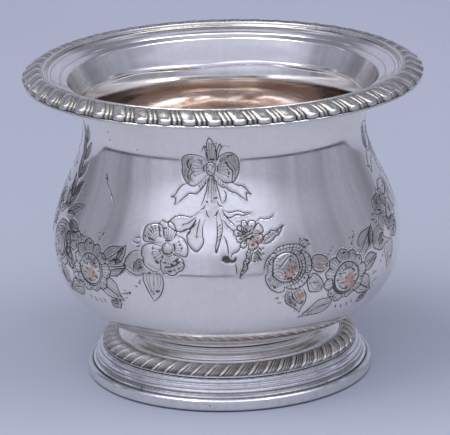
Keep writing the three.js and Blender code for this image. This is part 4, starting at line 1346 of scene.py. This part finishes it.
# Its hollow from the short wall up: radius, height and rounding
FOOT_HOLLOW = [
    (48.7, 4.9, 0.4), (48.2, 6.9, 0.6), (47.3, 8.6, 0.6), (46.2, 9.95, 0.6), (41.1, 13.65, 0.8),
    (38.8, 15.4, 1.5),
]


def make_foot(material):
    """The spun foot: cove, seat of its border, beads and hollow."""
    outline = [(*foot_place(across, down), *rest) for across, down, *rest in FOOT_OUTLINE]
    wall = outline[-1][0]
    inner_wall = wall - FOOT_SHEET
    outside = [(JOINT_RADIUS, COLLAR_TOP, 0.15)] + outline + [(wall, FOOT_EDGE, 0.15)]
    inside = [(inner_wall, FOOT_EDGE, 0.15), (inner_wall, 4.5, 0.4), *FOOT_HOLLOW,
              (JOINT_RADIUS - FOOT_SHEET, 17.6, 0.2)]
    section = outside[::-1] + inside[::-1]
    return make_turned("spun_foot", section, material, "silver_plate", "foot_shell")


def make_base_wire(material):
    """The plain wire that the bowl stands on."""
    inner, outer = BASE_RADIUS - BASE_WIRE_WIDTH, BASE_RADIUS
    top = BASE_WIRE_HEIGHT
    # Its bottom corners are darkened all round as a painted contact shadow on the floor; the top
    # corners get dirt with painted shade.
    section = [(inner, 0, 0.12, 1), (outer - 0.75, 0, 0.3, 1), (outer - 0.1, 0.55, 0.5, 0.6),
               (outer, 1.6, 2), (outer, top - 0.6, 0.5), (outer - 0.5, top, 0.35, 0.2),
               (inner, top, 0.12, 0.8)]
    return make_turned("base_wire_band", section, material, "silver_plate", "base_wire")


def make_seams(material):
    """The three fillets of soft solder."""
    under = BRIM_TOP - BODY_SHEET - SOLDER_GAP
    rim = [(BRIM_EDGE - 2.1, under, 0.1), (BRIM_EDGE - 1.2, under - 0.75, 1.2),
           (BRIM_EDGE, under - 1.7, 0.1), (BRIM_EDGE, under, 0.1)]
    make_turned("rim_seam", rim, material, "soft_solder", "rim_solder")
    inner = JOINT_RADIUS + SOLDER_GAP
    joint = [(inner, COLLAR_TOP - 0.02, 0.1), (inner + 0.55, COLLAR_TOP - 0.2, 0.3),
             (inner + 1.3, COLLAR_TOP + 0.35, 0.1), (inner + 1.25, COLLAR_TOP + 0.6, 0.1),
             (inner + 0.1, COLLAR_TOP + 0.1, 0.1)]
    make_turned("joint_seam", joint, material, "soft_solder", "joint_solder")
    wall = foot_place(1, 0)[0]
    base = [(wall - 1.1, FOOT_EDGE - 0.2, 0.1), (wall, 0.2, 0.1), (wall, FOOT_EDGE - 0.2, 0.1)]
    make_turned("base_seam", base, material, "soft_solder", "base_solder")


# Shader helpers


def feed(tree, socket, value):
    """Joins a socket to another, or sets its number or colour."""
    if isinstance(value, bpy.types.NodeSocket):
        tree.links.new(value, socket)
    elif isinstance(value, (tuple, list)) and len(value) == 3 and len(socket.default_value) == 4:
        socket.default_value = (*value, 1)
    else:
        socket.default_value = value


def place(tree, kind, settings=None, **inputs):
    """Adds a node, with its settings and its inputs by name."""
    made = tree.nodes.new(kind)
    for name, value in (settings or {}).items():
        setattr(made, name, value)
    for name, value in inputs.items():
        feed(tree, made.inputs[name.replace("_", " ")], value)
    return made


def sum_of(tree, operation, *values, clamp=False):
    """One step of arithmetic."""
    made = place(tree, "ShaderNodeMath", {"operation": operation, "use_clamp": clamp})
    for socket, value in zip(made.inputs, values):
        feed(tree, socket, value)
    return made.outputs[0]


def band(tree, value, low, high, to_low=0.0, to_high=1.0):
    """A smooth step from one value to another as a value goes from low to high."""
    made = place(tree, "ShaderNodeMapRange", {"interpolation_type": "SMOOTHSTEP"}, Value=value,
                 From_Min=low, From_Max=high, To_Min=to_low, To_Max=to_high)
    return made.outputs[0]


def band_even(tree, value, low, high, to_low=0.0, to_high=1.0):
    """An even slope from one value to another as a value goes from low to high."""
    made = place(tree, "ShaderNodeMapRange", Value=value, From_Min=low, From_Max=high, To_Min=to_low,
                 To_Max=to_high)
    return made.outputs[0]


def mix(tree, share, under, over):
    """Two numbers mixed."""
    made = place(tree, "ShaderNodeMix", {"data_type": "FLOAT"})
    for index, value in ((0, share), (2, under), (3, over)):
        feed(tree, made.inputs[index], value)
    return made.outputs[0]


def blend(tree, share, under, over):
    """Two colours mixed."""
    made = place(tree, "ShaderNodeMix", {"data_type": "RGBA"})
    for index, value in ((0, share), (6, under), (7, over)):
        feed(tree, made.inputs[index], value)
    return made.outputs[2]


def group(name, inputs, outputs):
    """An empty node group with named sockets: returns it, its inputs' node and its outputs' node."""
    made = bpy.data.node_groups.new(name, "ShaderNodeTree")
    for socket, kind, value in inputs:
        item = made.interface.new_socket(socket, in_out="INPUT", socket_type=kind)
        item.default_value = value
    for socket, kind in outputs:
        made.interface.new_socket(socket, in_out="OUTPUT", socket_type=kind)
    return made, made.nodes.new("NodeGroupInput"), made.nodes.new("NodeGroupOutput")


FLOAT = "NodeSocketFloat"
TARNISH_PATCH = 20            # size of the patches of tarnish, in millimetres
MOTTLE_RATIO = 9              # how much finer its mottle is
HAIRLINE_WIDTH = 0.22
HAIRLINE_LENGTH = 14
PIT_SPACING = 10
PIT_SIZE = 0.055              # share of the spacing that the largest pit takes


def tarnish_group():
    """A patchy film of tarnish, and a finer mottle."""
    made, given, result = group("tarnish film", [("Size", FLOAT, TARNISH_PATCH * MM)],
                                [("Film", FLOAT), ("Mottle", FLOAT)])
    where = place(made, "ShaderNodeTexCoord").outputs["Object"]
    scale = sum_of(made, "DIVIDE", 1, given.outputs["Size"])
    broad = place(made, "ShaderNodeTexNoise", Vector=where, Scale=scale, Detail=5, Roughness=0.6)
    finer = sum_of(made, "MULTIPLY", scale, MOTTLE_RATIO)
    fine = place(made, "ShaderNodeTexNoise", Vector=where, Scale=finer, Detail=4, Roughness=0.65)
    feed(made, result.inputs["Film"], band(made, broad.outputs[0], 0.42, 0.68))
    feed(made, result.inputs["Mottle"], band(made, fine.outputs[0], 0.35, 0.7))
    return made


def scratch_group():
    """Hairlines in several directions and a few pits, as masks and a height."""
    made, given, result = group("hairlines and pits",
                                [("Spacing", FLOAT, PIT_SPACING * MM), ("Pits", FLOAT, 0.5)],
                                [("Lines", FLOAT), ("Pits", FLOAT), ("Height", FLOAT)])
    where = place(made, "ShaderNodeTexCoord").outputs["Object"]
    across, along = 1 / (HAIRLINE_WIDTH * MM), 1 / (HAIRLINE_LENGTH * MM)
    lines = 0.0
    for turn in ((0.3, 0.2, 0.9), (1.1, 0.7, 2.1), (0.5, 1.9, 0.4)):
        laid = place(made, "ShaderNodeMapping", Vector=where, Rotation=turn,
                     Scale=(across, along, along))
        noise = place(made, "ShaderNodeTexNoise", Vector=laid.outputs[0], Scale=1, Detail=1,
                      Roughness=0.4)
        lines = sum_of(made, "MAXIMUM", lines, band(made, noise.outputs[0], 0.7, 0.76))
    apart = sum_of(made, "DIVIDE", 1, given.outputs["Spacing"])
    cells = place(made, "ShaderNodeTexVoronoi", Vector=where, Scale=apart)
    split = place(made, "ShaderNodeSeparateColor", Color=cells.outputs["Color"])
    size = band(made, split.outputs[0], 0.55, 1, 0, PIT_SIZE)
    near = sum_of(made, "LESS_THAN", cells.outputs["Distance"], size)
    pits = sum_of(made, "MULTIPLY", near, given.outputs["Pits"])
    feed(made, result.inputs["Lines"], lines)
    feed(made, result.inputs["Pits"], pits)
    sunk = sum_of(made, "ADD", sum_of(made, "MULTIPLY", lines, 0.35), pits)
    feed(made, result.inputs["Height"], sum_of(made, "SUBTRACT", 1, sunk))
    return made


SILVER = (0.95, 0.897, 0.842)
WARM_SILVER = (0.88, 0.81, 0.71)
COOL_SILVER = (0.86, 0.86, 0.875)
GREY_FILM = (0.46, 0.44, 0.39)
DARK_PATINA = (0.050, 0.048, 0.042)
GROOVE_PATINA = (0.19, 0.18, 0.15)
DEEP_PATINA_AND_SHADE = (0.11, 0.105, 0.09)
ENGRAVED_FILM = (0.42, 0.378, 0.30)
COPPER = (0.68, 0.42, 0.32)
DULL_COPPER = (0.60, 0.37, 0.315)
# Roughness of the clean metal
SHINE = {"bowl": 0.085, "cast": 0.13, "foot": 0.07, "solder": 0.3}
HAIRLINE_RELIEF = 0.07        # how strongly hairlines and pits catch the light
FOOT_RELIEF = 0.03            # and on the foot, which is smoother
RELIEF_DEPTH = 0.05
COPPER_HEIGHTS = (58, 27)     # heights at which copper starts to show inside and shows most
CAST_GRAIN = 1.5              # size of the grain of the cast borders
CAST_GRAIN_DEPTH = 0.10
CAST_GRAIN_RELIEF = 0.5
SPOT_SIZE = 2.4               # dark spots on the base
SPOT_HEIGHTS = (6, 5)         # they show below these


class Metal:
    """A metal material with a film of tarnish, hairlines and pits, to lay more on and then finish."""

    def __init__(self, name, rough, groups, relief=HAIRLINE_RELIEF):
        self.material = bpy.data.materials.new(name)
        self.material.use_nodes = True
        self.tree = self.material.node_tree
        self.shader = self.tree.nodes["Principled BSDF"]
        self.shader.inputs["Metallic"].default_value = 1
        tarnish = place(self.tree, "ShaderNodeGroup", {"node_tree": groups["tarnish"]})
        scratches = place(self.tree, "ShaderNodeGroup", {"node_tree": groups["scratches"]})
        self.film, self.mottle = tarnish.outputs["Film"], tarnish.outputs["Mottle"]
        self.colour, self.dull = SILVER, rough
        self.coat(WARM_SILVER, self.film, 0.28)
        self.coat(GREY_FILM, self.mottle, 0.10)
        self.coat(DARK_PATINA, scratches.outputs["Pits"], 0.8)
        self.roughen(self.film, 0.05)
        self.roughen(self.mottle, 0.03)
        self.roughen(scratches.outputs["Lines"], 0.12)
        self.relief(scratches.outputs["Height"], relief, RELIEF_DEPTH)

    def coat(self, colour, amount, share=None):
        """Lays a colour over the metal by an amount, or by a share of it."""
        if share is not None:
            amount = sum_of(self.tree, "MULTIPLY", amount, share)
        self.colour = blend(self.tree, amount, self.colour, colour)

    def roughen(self, amount, share):
        """Makes the metal duller by a share of an amount."""
        self.dull = sum_of(self.tree, "ADD", self.dull, sum_of(self.tree, "MULTIPLY", amount, share))

    def relief(self, height, strength, depth):
        """Lets a height catch the light, in place of any other before it."""
        bump = place(self.tree, "ShaderNodeBump", Strength=strength, Distance=depth * MM, Height=height)
        feed(self.tree, self.shader.inputs["Normal"], bump.outputs[0])

    def finish(self):
        """Joins the colour and the roughness to the shader and returns the material."""
        feed(self.tree, self.shader.inputs["Base Color"], self.colour)
        feed(self.tree, self.shader.inputs["Roughness"], self.dull)
        return self.material


def mark(tree, name):
    """A mark that the mesh carries at its points."""
    return place(tree, "ShaderNodeAttribute", {"attribute_name": name}).outputs["Fac"]


def bowl_plate(groups):
    """Plate of the bowl: patina in the cuts, copper showing on worn petals and inside."""
    metal = Metal("engraved silver plate", SHINE["bowl"], groups)
    tree = metal.tree
    grime, cut, wear, inside = (mark(tree, name) for name in ("grime", "cut", "wear", "inside"))
    uneven = sum_of(tree, "ADD", 0.55, sum_of(tree, "MULTIPLY", metal.mottle, 0.4))
    metal.coat(ENGRAVED_FILM, sum_of(tree, "MULTIPLY", grime, uneven))
    metal.coat(GREY_FILM, inside, 0.16)
    patchy = sum_of(tree, "MULTIPLY", wear, sum_of(tree, "ADD", 0.35, metal.mottle))
    metal.coat(COPPER, band(tree, patchy, 0.2, 0.75))
    where = place(tree, "ShaderNodeTexCoord").outputs["Object"]
    height = place(tree, "ShaderNodeSeparateXYZ", Vector=where).outputs["Z"]
    low = band(tree, height, *(part * MM for part in COPPER_HEIGHTS))
    low = sum_of(tree, "MULTIPLY", low, sum_of(tree, "ADD", 0.25, metal.film))
    worn = sum_of(tree, "MULTIPLY", inside, low)
    metal.coat(DULL_COPPER, sum_of(tree, "MULTIPLY", worn, 0.9, clamp=True))
    # The cut mark darkens the engraved lines with patina, and the brim's corners with dirt and painted
    # shade.
    metal.coat(DARK_PATINA, band(tree, cut, 0.05, 0.8, 0, 0.93))
    metal.roughen(grime, 0.12)
    metal.roughen(worn, 0.4)
    metal.roughen(cut, 0.35)
    return metal.finish()


def border_plate(groups):
    """Plate of the cast borders: bright ridges, patina in the hollows."""
    metal = Metal("plated cast border", SHINE["cast"], groups)
    tree = metal.tree
    hollow = mark(tree, "hollow")
    grime = sum_of(tree, "ADD", 0.24, sum_of(tree, "MULTIPLY", metal.mottle, 0.36))
    metal.coat(ENGRAVED_FILM, sum_of(tree, "MULTIPLY", grime, band(tree, hollow, 0, 0.2, 0.45, 1)))
    metal.coat(GROOVE_PATINA, band(tree, hollow, 0.22, 0.65, 0, 0.75))
    metal.coat(DARK_PATINA, band(tree, hollow, 0.6, 0.95, 0, 0.95))
    metal.roughen(hollow, 0.2)
    where = place(tree, "ShaderNodeTexCoord").outputs["Object"]
    grain = place(tree, "ShaderNodeTexNoise", Vector=where, Scale=1 / (CAST_GRAIN * MM), Detail=3,
                  Roughness=0.6)
    metal.relief(grain.outputs[0], CAST_GRAIN_RELIEF, CAST_GRAIN_DEPTH)
    return metal.finish()


def foot_plate(groups):
    """Plate of the spun foot and the base wire, with dark spots low down, and dirt with painted shade
    in the corners.
    """
    metal = Metal("spun foot plate", SHINE["foot"], groups, FOOT_RELIEF)
    tree = metal.tree
    metal.coat(COOL_SILVER, 0.5)
    metal.coat(GREY_FILM, band(tree, metal.mottle, 0.45, 1, 0, 0.2))
    where = place(tree, "ShaderNodeTexCoord").outputs["Object"]
    height = place(tree, "ShaderNodeSeparateXYZ", Vector=where).outputs["Z"]
    spots = place(tree, "ShaderNodeTexNoise", Vector=where, Scale=1 / (SPOT_SIZE * MM), Detail=2,
                  Roughness=0.7)
    low = band(tree, height, *(part * MM for part in SPOT_HEIGHTS))
    dark = sum_of(tree, "MULTIPLY", band(tree, spots.outputs[0], 0.68, 0.72), low)
    metal.coat(DARK_PATINA, dark, 0.8)
    # The mark of the turned pieces paints dirt and shade into the corners of the steps, and a contact
    # shadow along the bottom of the base wire.
    grime = mark(tree, "grime")
    metal.coat(DEEP_PATINA_AND_SHADE, grime, 0.95)
    metal.roughen(grime, 0.2)
    return metal.finish()


def solder_finish(groups):
    """Soft solder, greyer and duller than the plate."""
    metal = Metal("soft solder", SHINE["solder"], groups)
    metal.coat(GREY_FILM, 0.45)
    return metal.finish()


# Stage


FLOOR_COLOUR = (0.455, 0.475, 0.535)
# Colour of the painted shadow along the front edge, where the table drops away to the cloth
SHADOW_GAP_COLOUR = (0.05, 0.052, 0.07)
FLOOR_FRONT = 520             # how far the table reaches in front and beside the bowl
FLOOR_BACK = 1350             # and behind it
SHADOW_EDGE_WIDTH = 105              # width of the painted shadow along the front edge
EDGE_BLUR = 2                 # width over which the paper ends at it
FLOOR_DROP = 0.05             # how far the table lies under the bowl
FLOOR_STEP = 3                # degrees between its points
BACK_START = 105              # degrees from the front where the table starts to reach further
BACK_SPREAD = 25


def make_floor():
    """A table under pale lavender paper, with a painted shadow along its front edge."""
    material = bpy.data.materials.new("floor paper")
    material.use_nodes = True
    tree = material.node_tree
    shader = tree.nodes["Principled BSDF"]
    where = place(tree, "ShaderNodeTexCoord").outputs["Object"]
    soft = place(tree, "ShaderNodeTexNoise", Vector=where, Scale=3, Detail=2)
    lighter = tuple(1.05 * part for part in FLOOR_COLOUR)
    colour = blend(tree, band(tree, soft.outputs[0], 0.35, 0.65), FLOOR_COLOUR, lighter)
    # Painted shadow along the front edge, laid on by the edge mark
    colour = blend(tree, mark(tree, "edge"), colour, SHADOW_GAP_COLOUR)
    feed(tree, shader.inputs["Base Color"], colour)
    shader.inputs["Roughness"].default_value = 0.7
    shader.inputs["Specular IOR Level"].default_value = 0.2
    angles = np.radians(np.arange(-180, 180, FLOOR_STEP))
    beside = ease(rise(np.abs(np.degrees(angles)), BACK_START, BACK_SPREAD))
    outer = FLOOR_FRONT + (FLOOR_BACK - FLOOR_FRONT) * beside
    rings = [outer * 0.2, outer - SHADOW_EDGE_WIDTH - EDGE_BLUR, outer - SHADOW_EDGE_WIDTH, outer]
    low = -FLOOR_DROP * MM
    points = [(0, 0, low)]
    for ring in rings:
        points += [(r * MM * math.sin(a), -r * MM * math.cos(a), low) for r, a in zip(ring, angles)]
    count = len(angles)
    faces = [(0, 1 + i, 1 + (i + 1) % count) for i in range(count)]
    for k in range(len(rings) - 1):
        for i in range(count):
            a, b = 1 + k * count + i, 1 + k * count + (i + 1) % count
            faces.append((a, a + count, b + count, b))
    mesh = bpy.data.meshes.new("floor")
    mesh.from_pydata(points, [], faces)
    # The edge mark carries the painted shadow: full in front, gone behind the bowl
    edge = mesh.attributes.new("edge", "FLOAT", "POINT")
    dark = (1 - beside).tolist()
    edge.data.foreach_set("value", [0] * (1 + 2 * count) + dark + dark)
    mesh.materials.append(material)
    floor = bpy.data.objects.new("floor", mesh)
    bpy.context.scene.collection.objects.link(floor)


TENT_TINT = (0.93, 1.0, 1.305)
CLOTH_TOP = 0.84              # brightness of the cloth where it is brightest
CLOTH_ABOVE = 0.60            # and above that
WINDOW = 1.3                  # the bright band that goes round the front of the tent's top
WINDOW_START = (43, 47)       # degrees up between which it starts
WINDOW_END = (63, 59)         # and ends
WINDOW_FRONT = (-0.12, 0.02)  # how far ahead of the bowl it starts
CLOTH_MIDDLE = -12            # the cloth brightens soonest in this direction
CLOTH_ASIDE = (20, 80)        # and later between these degrees beside it:
CLOTH_STARTS = (7, 16)        # from these degrees up,
CLOTH_WIDTHS = (22, 50)       # over so many degrees
CLOTH_END = (29, 36)          # degrees up between which the cloth ends
TOP_START = (60, 66)          # degrees up between which the panels of the top start
TOP_BEHIND = (0.1, -0.2)      # and behind the bowl they start
TOP_BEHIND_START = (20, 35)   # between these degrees up
THREAD_WIDTH = 4              # degrees between uneven threads of the cloth
THREAD_GREYS = (0.82, 1.18)
# Brightness of the tent's top by degrees over the bowl, from the front (0) to the back (180)
PANELS = (
    (0, 0.3), (62, 0.5), (70, 0.16), (78, 0.22), (84, 0.62), (89, 0.30), (96, 0.16), (104, 0.40),
    (110, 0.16), (118, 0.28), (124, 0.66), (130, 0.24), (140, 0.20), (150, 0.42), (158, 0.34),
    (180, 0.42),
)
# Brightness of the cloth round the bowl, by degrees to the right of the camera
FOLDS = (
    (-180, 0.47), (-140, 0.42), (-131, 0.20), (-124, 0.20), (-112, 0.29), (-101, 0.32), (-96, 0.30),
    (-88, 0.265), (-80, 0.24), (-76, 0.35), (-67, 0.40), (-63, 0.375), (-58, 0.455), (-50, 0.44),
    (-46, 0.52), (-40, 0.46), (-20, 0.53), (0, 0.43), (10, 0.49), (30, 0.43), (45, 0.32), (53, 0.375),
    (61, 0.30), (66, 0.345), (72, 0.32), (80, 0.265), (86, 0.32), (93, 0.335), (105, 0.31),
    (126, 0.21), (142, 0.40), (180, 0.47),
)


def set_stops(ramp, stops):
    """Sets the places and greys of a colour ramp."""
    ramp.interpolation = "EASE"
    for position, _ in stops[1:-1]:
        ramp.elements.new(position)
    for element, (position, grey) in zip(ramp.elements, stops):
        element.position = position
        element.color = (grey, grey, grey, 1)


def make_tent():
    """The light tent: folded cloth that brightens upwards, a window, and darker panels overhead."""
    world = bpy.data.worlds.new("light tent")
    bpy.context.scene.world = world
    world.use_nodes = True
    tree = world.node_tree
    direction = place(tree, "ShaderNodeTexCoord").outputs["Generated"]
    part = place(tree, "ShaderNodeSeparateXYZ", Vector=direction)
    ahead = sum_of(tree, "MULTIPLY", part.outputs["Y"], -1)
    azimuth = sum_of(tree, "DEGREES", sum_of(tree, "ARCTAN2", part.outputs["X"], ahead))
    elevation = sum_of(tree, "DEGREES", sum_of(tree, "ARCSINE", part.outputs["Z"]))
    cloth = place(tree, "ShaderNodeValToRGB", Fac=band_even(tree, azimuth, -180, 180))
    set_stops(cloth.color_ramp, [(degrees / 360 + 0.5, bright) for degrees, bright in FOLDS])
    across = sum_of(tree, "DIVIDE", azimuth, THREAD_WIDTH)
    threads = place(tree, "ShaderNodeTexNoise", {"noise_dimensions": "1D"}, W=across, Scale=1, Detail=4,
                    Roughness=0.7)
    uneven = band_even(tree, threads.outputs[0], 0.2, 0.8, *THREAD_GREYS)
    grey = sum_of(tree, "MULTIPLY", cloth.outputs[0], uneven)
    # Brighter upwards, soonest above the camera
    aside = sum_of(tree, "ABSOLUTE", sum_of(tree, "SUBTRACT", azimuth, CLOTH_MIDDLE))
    start = band(tree, aside, *CLOTH_ASIDE, *CLOTH_STARTS)
    width = band(tree, aside, *CLOTH_ASIDE, *CLOTH_WIDTHS)
    share = sum_of(tree, "DIVIDE", sum_of(tree, "SUBTRACT", elevation, start), width)
    grey = mix(tree, band(tree, share, 0, 1), grey, CLOTH_TOP)
    grey = mix(tree, band(tree, elevation, *CLOTH_END), grey, CLOTH_ABOVE)
    # The window, and the panels of the top
    window = sum_of(tree, "MULTIPLY", band(tree, elevation, *WINDOW_START),
                    band(tree, elevation, *WINDOW_END))
    window = sum_of(tree, "MULTIPLY", window, band(tree, ahead, *WINDOW_FRONT))
    grey = mix(tree, window, grey, WINDOW)
    over = sum_of(tree, "DEGREES", sum_of(tree, "ARCTAN2", part.outputs["Z"], ahead))
    panels = place(tree, "ShaderNodeValToRGB", Fac=band_even(tree, over, 0, 180))
    set_stops(panels.color_ramp, [(degrees / 180, bright) for degrees, bright in PANELS])
    grey = mix(tree, band(tree, elevation, *TOP_START), grey, panels.outputs[0])
    behind = sum_of(tree, "MULTIPLY", band(tree, ahead, *TOP_BEHIND),
                    band(tree, elevation, *TOP_BEHIND_START))
    grey = mix(tree, behind, grey, panels.outputs[0])
    tinted = place(tree, "ShaderNodeVectorMath", {"operation": "SCALE"}, Scale=grey)
    tinted.inputs[0].default_value = TENT_TINT
    feed(tree, tree.nodes["Background"].inputs["Color"], tinted.outputs[0])
    tree.nodes["Background"].inputs["Strength"].default_value = 1


# Place, size and power of the lamps
LEFT_LAMP = ((-640, -330, 1900), 1100, 13.5)
RIGHT_LAMP = ((560, -300, 1700), 900, 6.5)


def make_lamp(name, place_mm, size, power):
    """A soft square lamp that faces the bowl."""
    data = bpy.data.lights.new(name, "AREA")
    data.size = size * MM
    data.energy = power
    lamp = bpy.data.objects.new(name, data)
    lamp.location = Vector(place_mm) * MM
    aim = Vector((0, 0, OVERALL_HEIGHT / 2)) * MM - lamp.location
    lamp.rotation_mode = "QUATERNION"
    lamp.rotation_quaternion = aim.to_track_quat("-Z", "Y")
    bpy.context.scene.collection.objects.link(lamp)


# Fitted to the rim and the foot of the photograph
CAMERA_DISTANCE = 1162.6
CAMERA_HEIGHT_ANGLE = 16.84   # degrees that it looks down
CAMERA_ROLL = -1.454
CAMERA_LENS = 252.57
SENSOR_WIDTH = 36
CAMERA_AIM_HEIGHT = 56.93
CAMERA_ASIDE = -0.49
CAMERA_REACH = (0.05, 20)     # metres between which it sees


def make_camera():
    """The camera, a little above the rim, looking down at the bowl."""
    data = bpy.data.cameras.new("camera")
    data.lens = CAMERA_LENS
    data.sensor_width = SENSOR_WIDTH
    data.clip_start, data.clip_end = CAMERA_REACH
    camera = bpy.data.objects.new("camera", data)
    tilt = math.radians(CAMERA_HEIGHT_ANGLE)
    back = Vector((0, -math.cos(tilt), math.sin(tilt))) * CAMERA_DISTANCE
    camera.location = (Vector((CAMERA_ASIDE, 0, CAMERA_AIM_HEIGHT)) + back) * MM
    camera.rotation_euler = (-back).to_track_quat("-Z", "Y").to_euler()
    camera.rotation_euler.rotate_axis("Z", math.radians(CAMERA_ROLL))
    bpy.context.scene.collection.objects.link(camera)
    bpy.context.scene.camera = camera


make_camera()
make_tent()
make_floor()
make_lamp("left_softbox", *LEFT_LAMP)
make_lamp("right_softbox", *RIGHT_LAMP)

shared = {"tarnish": tarnish_group(), "scratches": scratch_group()}
cast, foot, solder = border_plate(shared), foot_plate(shared), solder_finish(shared)
make_bowl(bowl_plate(shared))
make_rim_border(cast)
make_foot_border(cast)
make_foot(foot)
make_base_wire(foot)
make_seams(solder)

bpy.context.scene.view_settings.view_transform = "Standard"
